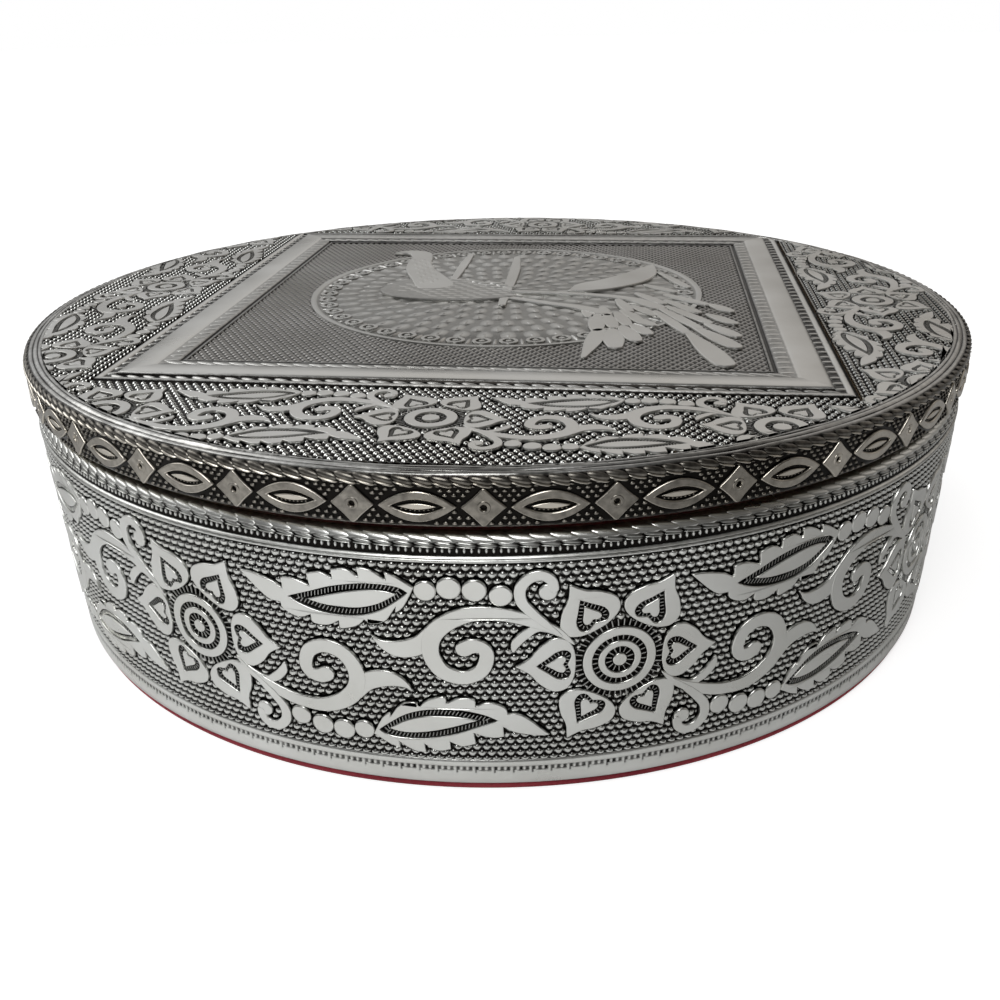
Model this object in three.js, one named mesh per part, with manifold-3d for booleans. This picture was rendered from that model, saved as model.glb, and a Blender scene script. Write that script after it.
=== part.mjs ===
// Round keepsake box with a lift-off lid, in millimetres, +Z up and the front towards -Y.
// The origin is the middle of the base, on the table.
// A board box and a board lid are dressed in thin embossed metal sheet outside and in velvet
// inside. The lid drops over a velvet-covered neck that stands up inside the rim.

import * as THREE from 'three';
import { mergeVertices } from 'three/addons/utils/BufferGeometryUtils.js';
import Module from 'manifold-3d';

const wasm = await Module();
wasm.setup();

// Outside of the box, over the metal
const boxTopRadius = 88.1;
const footDraw = 2;
const boxHeight = 43.3;

// Outside of the lid, over the metal
const lidOverhang = 0.4;
const lidHeight = 7.8;
const lidStandOff = 1.2;

// Metal sheet, its beads and its rolled edges
const sheetThickness = 0.5;
const rimRollRadius = 1.9;
const rimLipGap = 0.5;
const rimBeadDrop = 3.4;
const rimBeadRadius = 0.5;
const footBandHeight = 4.6;
const footBandRise = 0.35;
const lidEdgeRadius = 1.4;
const lidFoldUnder = 2.4;
const lidEdgeBeadRadius = 0.5;
const lidRollWidth = 2.8;
const lidRollCrest = 1;
const lidRollSlope = 0.8;
const lidRollRise = 0.35;

// Pattern pressed up from the sheet: its height, the slope of its sides and its root in the
// sheet, as a share of the sheet's thickness. A band's top is never narrower than a share of it.
const reliefRise = 0.55;
const reliefSlope = 0.2;
const reliefRootShare = 0.6;
const narrowTopShare = 0.5;

// Flowers round the wall, with arcs measured on the lid's outermost line, and the lapped seam.
// They fill the field between the foot band and the bead but for a margin, just below its middle.
const flowerMargin = 1.9;
const flowerDrop = 0.3;
const flowerPitch = 65.5;
const frontFlowerArc = 16.8;
const seamDegrees = 190.8;
const seamGap = 0.6;

// Smaller flowers in a strip along each side of the lid's frame
const stripFlowerReach = 11.4;
const stripFlowerPitch = 49.6;
const stripFlowerShift = -2;
const stripGap = 0.8;
const stripFlowers = 3;

// Raised square frame of the lid sheet: a fillet between two ropes and two thin lines
const frameCornerInset = 5.2;
const frameWidth = 8.5;
const frameRise = 0.7;
const frameRopeWidth = 2.1;
const frameRopeRise = 0.45;
const frameLineGap = 0.6;
const frameLineWidth = 0.9;
const frameLineRise = 0.38;
const frameOffsetX = 1.4;
const frameOffsetY = 3.5;
const frameTurnDegrees = -7.3;

// Round medallion of the lid sheet with its raised edge, and the long-tailed bird over it
const medallionMargin = 10.4;
const medallionRise = 0.3;
const medallionEdgeRise = 0.45;
const medallionEdgeWidth = 1.4;
const medallionOffsetX = 2;
const medallionOffsetY = 6.4;
const tailRise = 0.6;

// Middle lines of the flower's forms as [x, y, width], in shares of the flower's reach. The
// petal points along +X; a spray grows up and to the left and, turned half round, to the right.
const petals = 6;
const coreShare = 0.36;
const petalShares = [[0.44, 0, 0.2], [0.57, 0, 0.58], [0.77, 0, 0.42], [1, 0, 0.03]];
const leafShares = [
  [-3.67, 0.81, 0.03], [-3.15, 0.63, 0.33], [-2.65, 0.66, 0.58], [-2.2, 0.75, 0.48], [-1.91, 0.86, 0.03],
];
const scrollShares = [
  [-0.46, 0.23, 0.03], [-0.86, 0.5, 0.13], [-1.4, 0.59, 0.16], [-1.75, 0.32, 0.18],
  [-1.7, -0.04, 0.17], [-1.38, -0.08, 0.15], [-1.36, 0.23, 0.15],
];
const beadRowShares = [[-1.9, 0.81, 0.17], [-1.48, 0.84, 0.2], [-1.04, 0.76, 0.17]];
const spurShares = [[-2.36, 0.29, 0.03], [-2.07, 0.18, 0.2], [-1.79, 0.33, 0.2]];
const curlShares = [[-0.63, 0.38, 0.04], [-0.93, 0.74, 0.11], [-0.8, 0.98, 0.11], [-0.64, 0.86, 0.11]];
const smallSprayShares = [leafShares, scrollShares, beadRowShares];
const fullSprayShares = [...smallSprayShares, spurShares, curlShares];

// Middle lines of the bird's forms as [x, y, width], in shares of the medallion's radius
const birdBodyShares = [
  [-0.65, 0.04, 0.02], [-0.55, 0.05, 0.3], [-0.38, 0.04, 0.45], [-0.2, -0.02, 0.38],
  [-0.06, -0.1, 0.2], [0.05, -0.14, 0.02],
];
const birdNeckShares = [
  [-0.39, 0.17, 0.21], [-0.46, 0.44, 0.17], [-0.48, 0.74, 0.13], [-0.51, 0.89, 0.12], [-0.64, 0.91, 0.02],
];
const birdWingShares = [
  [0.31, -0.07, 0.02], [0.41, -0.02, 0.13], [0.56, 0.09, 0.16], [0.71, 0.22, 0.14],
  [0.79, 0.37, 0.08], [0.83, 0.49, 0.02],
];
const tailShares = [
  [[-0.1, -0.09, 0.06], [0.25, -0.36, 0.07], [0.45, -0.64, 0.09]],
  [[-0.05, -0.04, 0.06], [0.45, -0.24, 0.07], [0.78, -0.56, 0.09]],
  [[-0.03, -0.31, 0.04], [0.03, 0.19, 0.06], [0.08, 0.74, 0.04]],
  [[-0.29, 0.14, 0.03], [-0.23, 0.62, 0.05], [-0.19, 0.84, 0.03]],
];
const featherShares = [
  [[0.41, -0.66, 0.06], [0.31, -1.15, 0.11]],
  [[0.46, -0.65, 0.06], [0.45, -1.02, 0.1]],
  [[0.51, -0.61, 0.06], [0.56, -0.93, 0.1]],
  [[0.56, -0.55, 0.05], [0.68, -0.8, 0.09]],
  [[0.8, -0.64, 0.07], [0.89, -1.3, 0.12]],
  [[0.86, -0.58, 0.06], [1, -1.07, 0.11]],
  [[0.79, -0.51, 0.06], [0.74, -0.85, 0.1]],
  [[0.9, -0.48, 0.06], [1.06, -0.85, 0.1]],
];

// Boards and cards
const boardGap = 0.3;
const wallThickness = 5.5;
const baseBoardThickness = 4;
const neckThickness = 1.8;
const lidRecessDepth = 3.8;
const floorCardThickness = 1.5;

// Velvet
const feltThickness = 1.3;
const feltInset = 0.2;
const velvetThickness = 0.6;
const floorVelvetThickness = 0.8;
const neckClearance = 0.8;
const lidSeatGap = 0.3;

// Counts of facets
const roundSegments = 60;
const rollSteps = 3;
const beadSteps = 3;
const bossSides = 8;
const squareSides = 4;

// Levels from the table up
const baseBoardBottom = feltThickness;
const baseBoardTop = baseBoardBottom + baseBoardThickness;
const wallTop = boxHeight - sheetThickness - boardGap;
const lidBottom = boxHeight + lidStandOff;
const lidTop = lidBottom + lidHeight;
const recessTop = lidBottom + lidRecessDepth;
const neckCoverTop = recessTop - lidSeatGap;
const neckTop = neckCoverTop - velvetThickness - boardGap;
const lidLiningTop = recessTop + velvetThickness;
const lidBoardTop = lidTop - sheetThickness;

// Radii from the outside in
const boxBaseRadius = boxTopRadius - footDraw;
const lidRadius = boxTopRadius + lidOverhang;
const wallInnerRadius = boxTopRadius - sheetThickness - boardGap - wallThickness;
const neckOuterRadius = wallInnerRadius - boardGap;
const neckInnerRadius = neckOuterRadius - neckThickness;
const liningInnerRadius = neckInnerRadius - boardGap - velvetThickness;
const neckCoverRadius = neckOuterRadius + boardGap + velvetThickness;
const recessRadius = neckCoverRadius + neckClearance;
const lidRimInnerRadius = recessRadius + velvetThickness + boardGap;
const lidCoreRadius = lidRadius - sheetThickness - boardGap;
const rimLipRadius = neckCoverRadius + rimLipGap;

// Plan sizes of the lid's frame, medallion and strips
const frameHalf = (lidRadius - frameCornerInset) * Math.SQRT1_2;
const frameInnerHalf = frameHalf - frameWidth;
const frameLineHalf = frameHalf + frameLineGap + frameLineWidth;
const medallionRadius = frameInnerHalf - medallionMargin;
const stripMiddle = frameLineHalf + stripGap + stripFlowerReach;
const lidFieldRadius = lidRadius - lidRollWidth;

// Where the pattern lies on the wall, up it and round it
const wallFieldBottom = baseBoardBottom + footBandHeight;
const wallFieldTop = boxHeight - rimBeadDrop;
const flowerReach = (wallFieldTop - wallFieldBottom) / 2 - flowerMargin;
const flowerHeight = (wallFieldTop + wallFieldBottom) / 2 - flowerDrop;
const patternRadius = lidRadius + lidEdgeBeadRadius;
const seamArc = THREE.MathUtils.degToRad(seamDegrees) * patternRadius;
const seamBackArc = seamArc - 2 * Math.PI * patternRadius;
const reliefRoot = sheetThickness * reliefRootShare;

// Finishes
const embossedMetal = () => new THREE.MeshStandardMaterial({ color: 0xaeb0ac, roughness: 0.38, metalness: 0.9 });
const redVelvet = () => new THREE.MeshStandardMaterial({ color: 0x8e1020, roughness: 0.95, metalness: 0 });
const fibreBoard = () => new THREE.MeshStandardMaterial({ color: 0x9a7a55, roughness: 0.85, metalness: 0 });
const greyCard = () => new THREE.MeshStandardMaterial({ color: 0x8d8678, roughness: 0.9, metalness: 0 });

// The box tapers in towards its foot.
function boxRadiusAt(height) {
  const rise = (height - baseBoardBottom) / (boxHeight - baseBoardBottom);
  return boxBaseRadius + (boxTopRadius - boxBaseRadius) * rise;
}

// Points of an arc in the profile plane, from one angle to another.
function arcPoints(centreRadius, centreHeight, radius, fromDegrees, toDegrees, steps) {
  const points = [];
  for (let step = 0; step <= steps; step += 1) {
    const angle = THREE.MathUtils.degToRad(fromDegrees + (toDegrees - fromDegrees) * (step / steps));
    points.push([centreRadius + radius * Math.cos(angle), centreHeight + radius * Math.sin(angle)]);
  }
  return points;
}

// Merges shared places, and drops the faces that closed up to a line at the axis.
function withoutSlivers(geometry) {
  geometry.deleteAttribute('normal');
  geometry.deleteAttribute('uv');
  const merged = mergeVertices(geometry);
  const faces = [];
  for (let at = 0; at < merged.index.count; at += 3) {
    const [a, b, c] = [0, 1, 2].map((corner) => merged.index.getX(at + corner));
    if (a !== b && b !== c && c !== a) faces.push(a, b, c);
  }
  merged.setIndex(faces);
  return merged;
}

// A body of revolution about the Z axis. Its profile runs counter-clockwise, radius against height.
function turned(profile, segments = roundSegments) {
  const points = profile.map(([radius, height]) => new THREE.Vector2(radius, height));
  const onAxis = points[0].x === 0 && points[points.length - 1].x === 0;
  if (!onAxis) points.push(points[0].clone());
  const geometry = new THREE.LatheGeometry(points, segments);
  geometry.rotateX(Math.PI / 2);
  return withoutSlivers(geometry);
}

function disc(radius, bottom, thickness) {
  return turned([[0, bottom], [radius, bottom], [radius, bottom + thickness], [0, bottom + thickness]]);
}

function ring(innerRadius, outerRadius, bottom, top) {
  return turned([[outerRadius, bottom], [outerRadius, top], [innerRadius, top], [innerRadius, bottom]]);
}

// Joins of solids
function toSolid(geometry) {
  const merged = withoutSlivers(geometry.clone());
  const mesh = new wasm.Mesh({
    numProp: 3,
    vertProperties: new Float32Array(merged.attributes.position.array),
    triVerts: new Uint32Array(merged.index.array),
  });
  return new wasm.Manifold(mesh);
}

function toGeometry(solid) {
  const mesh = solid.getMesh();
  const geometry = new THREE.BufferGeometry();
  geometry.setAttribute('position', new THREE.BufferAttribute(mesh.vertProperties, 3));
  geometry.setIndex(new THREE.BufferAttribute(mesh.triVerts, 1));
  return geometry;
}

// Several closed geometries as one.
function joined(geometries) {
  return toGeometry(geometries.map(toSolid).reduce((all, solid) => all.add(solid)));
}

// A raised band drawn flat, from the places and widths along its middle line. It has a root
// below the face of the sheet, and its sides slope in to its flat top.
function band(stations, rise) {
  const corners = [];
  const faces = [];
  stations.forEach(([x, y, width], station) => {
    const [beforeX, beforeY] = stations[Math.max(station - 1, 0)];
    const [afterX, afterY] = stations[Math.min(station + 1, stations.length - 1)];
    const length = Math.hypot(afterX - beforeX, afterY - beforeY);
    const sideX = -(afterY - beforeY) / length;
    const sideY = (afterX - beforeX) / length;
    const foot = width / 2;
    const top = Math.max(foot - reliefSlope, foot * narrowTopShare);
    for (const [reach, level] of [[foot, -reliefRoot], [-foot, -reliefRoot], [-top, rise], [top, rise]]) {
      corners.push(x + sideX * reach, y + sideY * reach, level);
    }
    if (station === 0) return;
    const here = station * squareSides;
    const before = here - squareSides;
    for (let side = 0; side < squareSides; side += 1) {
      const next = (side + 1) % squareSides;
      faces.push(before + side, here + side, here + next, before + side, here + next, before + next);
    }
  });
  const last = corners.length / 3 - squareSides;
  faces.push(0, 1, 2, 0, 2, 3, last + 3, last + 2, last + 1, last + 3, last + 1, last);
  const geometry = new THREE.BufferGeometry();
  geometry.setAttribute('position', new THREE.Float32BufferAttribute(corners, 3));
  geometry.setIndex(faces);
  return geometry;
}

// A raised round boss drawn flat, with the same root and slope as a band.
function boss(radius, rise) {
  return turned([[0, -reliefRoot], [radius, -reliefRoot], [radius - reliefSlope, rise], [0, rise]], bossSides);
}

// A middle line in real sizes, from its shares, turned about the origin.
function sized(shares, size, degrees = 0) {
  const turn = THREE.MathUtils.degToRad(degrees);
  return shares.map(([x, y, width]) => [
    (x * Math.cos(turn) - y * Math.sin(turn)) * size,
    (x * Math.sin(turn) + y * Math.cos(turn)) * size,
    width * size,
  ]);
}

// One six-petalled flower with its two sprays, drawn flat about the flower's middle.
function flowerWithSprays(reach, rise, sprayShares) {
  const forms = [boss(coreShare * reach, rise)];
  for (let petal = 0; petal < petals; petal += 1) {
    forms.push(band(sized(petalShares, reach, (petal * 360) / petals), rise));
  }
  for (const degrees of [0, 180]) {
    forms.push(...sprayShares.map((shares) => band(sized(shares, reach, degrees), rise)));
  }
  return joined(forms);
}

// The wall's flowers, laid side by side on the flat, cut at the seam and wrapped round the wall.
function wallRelief() {
  const flower = flowerWithSprays(flowerReach, reliefRise, fullSprayShares);
  const before = Math.ceil((frontFlowerArc - seamBackArc) / flowerPitch);
  const after = Math.ceil((seamArc - frontFlowerArc) / flowerPitch);
  const row = [];
  for (let place = -before; place <= after; place += 1) {
    row.push(flower.clone().translate(frontFlowerArc + place * flowerPitch, flowerHeight, 0));
  }
  const length = seamArc - seamBackArc - seamGap;
  const middleArc = (seamArc + seamBackArc) / 2;
  const shortOfSeam = new THREE.BoxGeometry(length, boxHeight, boxTopRadius);
  shortOfSeam.translate(middleArc, boxHeight / 2, 0);
  const relief = toGeometry(toSolid(joined(row)).intersect(toSolid(shortOfSeam)));
  const places = relief.attributes.position;
  for (let n = 0; n < places.count; n += 1) {
    const radius = boxRadiusAt(places.getY(n)) + places.getZ(n);
    const turn = places.getX(n) / patternRadius;
    places.setXYZ(n, radius * Math.sin(turn), -radius * Math.cos(turn), places.getY(n));
  }
  return relief;
}

function named(name, geometry, material) {
  const mesh = new THREE.Mesh(geometry, material);
  mesh.name = name;
  return mesh;
}

// Red felt disc under the base. The box stands on it.
function baseFelt() {
  return named('base_felt', disc(boxBaseRadius - feltInset, 0, feltThickness), redVelvet());
}

// Board disc that closes the bottom of the wall.
function baseBoard() {
  const radius = boxBaseRadius - sheetThickness - boardGap;
  return named('base_board', disc(radius, baseBoardBottom, baseBoardThickness), fibreBoard());
}

// Board ring glued on the base disc, straight inside and tapered outside.
function bodyWall() {
  const coreRadiusAt = (height) => boxRadiusAt(height) - sheetThickness - boardGap;
  const coreRoll = rimRollRadius - sheetThickness;
  const rollHeight = wallTop - coreRoll;
  const topRoll = arcPoints(coreRadiusAt(rollHeight) - coreRoll, rollHeight, coreRoll, 0, 90, rollSteps);
  const profile = [
    [coreRadiusAt(baseBoardTop), baseBoardTop],
    ...topRoll,
    [wallInnerRadius, wallTop],
    [wallInnerRadius, baseBoardTop],
  ];
  return named('body_wall', turned(profile), fibreBoard());
}

// Embossed sheet round the wall: a plain foot band, a field of flowers and sprays, a round bead
// below the rim, and a rolled rim that turns over the top of the wall and stops short of the neck.
function sideSheet() {
  const foot = baseBoardBottom;
  const bandTop = wallFieldBottom;
  const rollHeight = boxHeight - rimRollRadius;
  const rollCentre = boxRadiusAt(rollHeight) - rimRollRadius;
  const bead = arcPoints(boxRadiusAt(wallFieldTop), wallFieldTop, rimBeadRadius, -90, 90, beadSteps);
  const innerRoll = arcPoints(rollCentre, rollHeight, rimRollRadius - sheetThickness, 90, 0, rollSteps);
  const profile = [
    [boxRadiusAt(foot) + footBandRise, foot],
    [boxRadiusAt(bandTop) + footBandRise, bandTop - footBandRise],
    [boxRadiusAt(bandTop), bandTop],
    ...bead,
    ...arcPoints(rollCentre, rollHeight, rimRollRadius, 0, 90, rollSteps),
    [rimLipRadius, boxHeight],
    [rimLipRadius, boxHeight - sheetThickness],
    ...innerRoll,
    [boxRadiusAt(foot) - sheetThickness, foot],
  ];
  return named('side_sheet', joined([turned(profile), wallRelief()]), embossedMetal());
}

// Card collar glued inside the wall. It stands above the rim and locates the lid.
function neckCollar() {
  const geometry = ring(neckInnerRadius, neckOuterRadius, baseBoardTop, neckTop);
  return named('neck_collar', geometry, greyCard());
}

// Velvet strip folded over the collar: short outside, down to the floor inside.
function wellLining() {
  const coverInner = neckCoverRadius - velvetThickness;
  const coverBottom = wallTop + boardGap;
  const liningOuter = liningInnerRadius + velvetThickness;
  const profile = [
    [liningInnerRadius, baseBoardTop],
    [liningOuter, baseBoardTop],
    [liningOuter, neckCoverTop - velvetThickness],
    [coverInner, neckCoverTop - velvetThickness],
    [coverInner, coverBottom],
    [neckCoverRadius, coverBottom],
    [neckCoverRadius, neckCoverTop],
    [liningInnerRadius, neckCoverTop],
  ];
  return named('well_lining', turned(profile), redVelvet());
}

// Loose floor of the well: a card disc with velvet glued on top.
function floorCard() {
  const radius = liningInnerRadius - boardGap;
  return named('floor_card', disc(radius, baseBoardTop, floorCardThickness), greyCard());
}

function floorVelvet() {
  const radius = liningInnerRadius - boardGap;
  const bottom = baseBoardTop + floorCardThickness;
  return named('floor_velvet', disc(radius, bottom, floorVelvetThickness), redVelvet());
}

// Board disc of the lid.
function lidBoard() {
  const geometry = disc(lidCoreRadius, lidLiningTop, lidBoardTop - lidLiningTop);
  return named('lid_board', geometry, fibreBoard());
}

// Board ring under the lid disc. Its inside is the recess that drops over the neck.
function lidRim() {
  const bottom = lidBottom + sheetThickness + boardGap;
  const geometry = ring(lidRimInnerRadius, lidCoreRadius, bottom, lidLiningTop);
  return named('lid_rim', geometry, fibreBoard());
}

// A raised square ring drawn flat about the frame's middle, between two half sizes.
function squareRing(innerHalf, outerHalf, rise) {
  const slope = Math.min(reliefSlope, (outerHalf - innerHalf) / 2 * narrowTopShare);
  const profile = [
    [innerHalf, -reliefRoot],
    [outerHalf, -reliefRoot],
    [outerHalf - slope, rise],
    [innerHalf + slope, rise],
  ].map(([half, level]) => [half * Math.SQRT2, level]);
  return turned(profile, squareSides).rotateZ(Math.PI / squareSides);
}

// The frame, drawn flat: a fillet between two ropes, with a thin line outside and inside them.
// Beside it lies a strip of flowers along each side.
function frameRelief() {
  const innerLineHalf = frameInnerHalf - frameLineGap - frameLineWidth;
  const forms = [
    squareRing(innerLineHalf, innerLineHalf + frameLineWidth, frameLineRise),
    squareRing(frameInnerHalf, frameHalf, frameRopeRise),
    squareRing(frameInnerHalf + frameRopeWidth, frameHalf - frameRopeWidth, frameRise),
    squareRing(frameLineHalf - frameLineWidth, frameLineHalf, frameLineRise),
  ];
  const flower = flowerWithSprays(stripFlowerReach, reliefRise, smallSprayShares);
  for (let side = 0; side < squareSides; side += 1) {
    for (let place = 0; place < stripFlowers; place += 1) {
      const along = stripFlowerShift + (place - (stripFlowers - 1) / 2) * stripFlowerPitch;
      forms.push(flower.clone().translate(along, -stripMiddle, 0).rotateZ((side * 2 * Math.PI) / squareSides));
    }
  }
  const turn = THREE.MathUtils.degToRad(frameTurnDegrees);
  return joined(forms).rotateZ(turn).translate(frameOffsetX, frameOffsetY, 0);
}

// The medallion, drawn flat, and the bird over it: body, neck and wing as high as the frame.
function medallionRelief() {
  const edgeInner = medallionRadius - medallionEdgeWidth;
  const medallion = turned([
    [0, -reliefRoot],
    [medallionRadius, -reliefRoot],
    [medallionRadius - reliefSlope, medallionEdgeRise],
    [edgeInner, medallionEdgeRise],
    [edgeInner - reliefSlope, medallionRise],
    [0, medallionRise],
  ]);
  const high = [birdBodyShares, birdNeckShares, birdWingShares];
  const low = [...tailShares, ...featherShares];
  return joined([
    medallion,
    ...high.map((shares) => band(sized(shares, medallionRadius), frameRise)),
    ...low.map((shares) => band(sized(shares, medallionRadius), tailRise)),
  ]).translate(medallionOffsetX, medallionOffsetY, 0);
}

// Embossed sheet on top of the lid: a flat disc with a rounded, rolled edge, and within it the
// frame with its strips of flowers and the medallion with its bird, pressed up from the sheet.
function lidTopSheet() {
  const edgeHeight = lidTop - sheetThickness;
  const crestRadius = lidFieldRadius + lidRollSlope;
  const edge = arcPoints(lidRadius - sheetThickness, edgeHeight, sheetThickness, 0, 90, rollSteps);
  const plate = turned([
    [0, edgeHeight],
    ...edge,
    [crestRadius + lidRollCrest, lidTop + lidRollRise],
    [crestRadius, lidTop + lidRollRise],
    [lidFieldRadius, lidTop],
    [0, lidTop],
  ]);
  const field = disc(lidFieldRadius, -sheetThickness, sheetThickness + frameRise);
  const pressed = toSolid(joined([frameRelief(), medallionRelief()])).intersect(toSolid(field));
  const relief = toGeometry(pressed).translate(0, 0, lidTop);
  return named('lid_top_sheet', joined([plate, relief]), embossedMetal());
}

// Embossed strip round the lid's edge, with a bead at its top and a fold under the board ring.
function lidSideSheet() {
  const top = lidTop - sheetThickness;
  const beadHeight = top - lidEdgeBeadRadius;
  const foldRadius = lidRadius - lidFoldUnder;
  const corner = arcPoints(lidRadius - lidEdgeRadius, lidBottom + lidEdgeRadius, lidEdgeRadius, -90, 0, rollSteps);
  const innerCornerRadius = lidEdgeRadius - sheetThickness;
  const innerCorner = arcPoints(
    lidRadius - lidEdgeRadius,
    lidBottom + lidEdgeRadius,
    innerCornerRadius,
    0,
    -90,
    rollSteps,
  );
  const bead = arcPoints(lidRadius, beadHeight, lidEdgeBeadRadius, -90, 90, beadSteps);
  const profile = [
    [foldRadius, lidBottom],
    ...corner,
    ...bead,
    [lidRadius - sheetThickness, top],
    ...innerCorner,
    [foldRadius, lidBottom + sheetThickness],
  ];
  return named('lid_side_sheet', turned(profile), embossedMetal());
}

// Velvet of the lid: a disc under the board and a strip round the recess.
function lidLining() {
  return named('lid_lining', disc(lidRimInnerRadius - boardGap, recessTop, velvetThickness), redVelvet());
}

function lidRimLining() {
  const bottom = lidBottom + sheetThickness + boardGap;
  const geometry = ring(recessRadius, recessRadius + velvetThickness, bottom, recessTop);
  return named('lid_rim_lining', geometry, redVelvet());
}

const box = new THREE.Group();
box.name = 'box';
box.add(baseFelt(), baseBoard(), bodyWall(), sideSheet());
box.add(neckCollar(), wellLining(), floorCard(), floorVelvet());

const lid = new THREE.Group();
lid.name = 'lid';
lid.add(lidBoard(), lidRim(), lidTopSheet(), lidSideSheet());
lid.add(lidLining(), lidRimLining());

const keepsakeBox = new THREE.Group();
keepsakeBox.add(box, lid);

export default keepsakeBox;
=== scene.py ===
import math

import bpy
import numpy as np
from mathutils import Matrix, Vector
from mathutils.kdtree import KDTree


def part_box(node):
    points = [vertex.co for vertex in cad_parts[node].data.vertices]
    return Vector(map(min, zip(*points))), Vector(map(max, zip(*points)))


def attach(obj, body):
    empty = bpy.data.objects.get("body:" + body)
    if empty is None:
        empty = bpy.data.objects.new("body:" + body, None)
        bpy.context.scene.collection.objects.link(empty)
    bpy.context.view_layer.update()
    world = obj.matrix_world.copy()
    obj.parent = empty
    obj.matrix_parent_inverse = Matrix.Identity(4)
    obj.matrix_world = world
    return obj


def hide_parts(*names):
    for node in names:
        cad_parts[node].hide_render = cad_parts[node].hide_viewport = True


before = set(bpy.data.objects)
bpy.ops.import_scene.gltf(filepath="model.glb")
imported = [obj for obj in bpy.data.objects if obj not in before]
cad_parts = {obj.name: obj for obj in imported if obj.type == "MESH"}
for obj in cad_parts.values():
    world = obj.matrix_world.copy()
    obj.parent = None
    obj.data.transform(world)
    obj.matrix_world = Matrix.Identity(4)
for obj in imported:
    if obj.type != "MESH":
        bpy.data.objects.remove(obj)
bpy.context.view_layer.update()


# The flowers, leaves and scrolls of the wall: the sheet is thin white metal wrapped round the
# board. One flower with a spray on each side is pressed up as flat plates with rounded edges
# and rubbed bright. Hearts, rings and leaf veins are sunk, with small cuts across the sinking.

MM = 0.001
FULL_TURN = 2 * math.pi

FOOT_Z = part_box("base_felt")[1][2] / MM
RIM_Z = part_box("side_sheet")[1][2] / MM
RIM_RADIUS = 88.1
FOOT_RADIUS = 86.1
PLAN_RADIUS = 89.0

FRONT_FLOWER_TURN = 16.8 / PLAN_RADIUS
FLOWER_Z = 22.6
REPEAT = 65.5
REPEATS = range(-5, 5)
REPEATS_AT_SEAM = (-5, -4, 3, 4)
SEAM_TURN = math.radians(190.8)
SEAM_EDGE = 0.3

PLATE_RISE = 0.55
PLATE_EDGE = 0.12
PLATE_SINK = 0.25
VEIN_FLOOR = 0.08
FLOOR_EDGE = 0.02
CUT_RISE = 0.36
CUT_RUN = 0.15
CURVE_STEPS = 5
FINE_STEPS = 4
POINTED_END = 0.2
PETALS = 6

BLACK_PATINA = (0.012, 0.011, 0.010)
WALL_SILVER = (0.80, 0.81, 0.785)
DULL_CLOUD = (0.80, 0.79, 0.77)
UNTINTED = (1, 1, 1)
CLOUD_SCALE = 55.0
GRAIN_SCALE = 900.0


def new_material(name):
    material = bpy.data.materials.new(name)
    material.use_nodes = True
    return material, material.node_tree, material.node_tree.nodes["Principled BSDF"]


def feed(tree, node, feeds):
    """Links each socket named to what feeds it."""
    for socket, source in feeds.items():
        tree.links.new(source, node.inputs[socket])


def shader_node(tree, kind, values=(), feeds=(), **settings):
    """A new node with its settings, the values of its sockets and what feeds the others."""
    node = tree.nodes.new("ShaderNode" + kind)
    for setting, value in settings.items():
        setattr(node, setting, value)
    for socket, value in dict(values).items():
        node.inputs[socket].default_value = value
    feed(tree, node, dict(feeds))
    return node


def noise(tree, place, scale, detail, **more):
    values = {"Scale": scale, "Detail": detail, **more}
    return shader_node(tree, "TexNoise", values, {"Vector": place}).outputs["Fac"]


def colour_ramp(tree, source, low, low_colour, high, high_colour):
    ramp = shader_node(tree, "ValToRGB", feeds={"Fac": source})
    stops = ramp.color_ramp.elements
    stops[0].position, stops[0].color = low, (*low_colour, 1)
    stops[1].position, stops[1].color = high, (*high_colour, 1)
    return ramp.outputs["Color"]


def spread(tree, source, low, high, to_low=0.0, to_high=1.0):
    """Spreads what lies between two levels over two others."""
    levels = {"From Min": low, "From Max": high, "To Min": to_low, "To Max": to_high}
    return shader_node(tree, "MapRange", levels, {"Value": source}).outputs["Result"]


def bump(tree, source, strength, distance):
    node = shader_node(tree, "Bump", {"Strength": strength, "Distance": distance}, {"Height": source})
    return node.outputs["Normal"]


def patina_metal(name, bright, dark, roughness):
    """Blackened white metal, rubbed bright where the 'polish' of the mesh is high; some pieces paint light and
    shade into the polish.
    """
    material, tree, shader = new_material(name)
    shader.inputs["Metallic"].default_value = 1.0
    place = shader_node(tree, "TexCoord").outputs["Object"]
    polish = shader_node(tree, "Attribute", attribute_name="polish").outputs["Fac"]
    cloud = noise(tree, place, CLOUD_SCALE, 4.0)
    grain = noise(tree, place, GRAIN_SCALE, 3.0)
    wear_and_painted_light = shader_node(tree, "Math", {1: 0.35, 2: -0.17}, {0: grain}, operation="MULTIPLY_ADD").outputs[0]
    level = shader_node(tree, "Math", feeds={0: polish, 1: wear_and_painted_light}, operation="ADD", use_clamp=True).outputs[0]
    rubbed = colour_ramp(tree, level, 0.18, dark, 0.72, bright)
    tint = colour_ramp(tree, cloud, 0.3, DULL_CLOUD, 0.7, UNTINTED)
    shade = shader_node(
        tree, "Mix", {"Factor": 1.0}, {"A": rubbed, "B": tint}, data_type="RGBA", blend_type="MULTIPLY")
    feed(tree, shader, {
        "Base Color": shade.outputs["Result"],
        "Roughness": spread(tree, cloud, 0.3, 0.7, roughness - 0.05, roughness + 0.07),
        "Normal": bump(tree, grain, 0.12, 0.0002),
    })
    return material


wall_metal = patina_metal("rubbed white metal, wall", WALL_SILVER, BLACK_PATINA, 0.30)


def wall_radius(z):
    return FOOT_RADIUS + (RIM_RADIUS - FOOT_RADIUS) * (z - FOOT_Z) / (RIM_Z - FOOT_Z)


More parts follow.
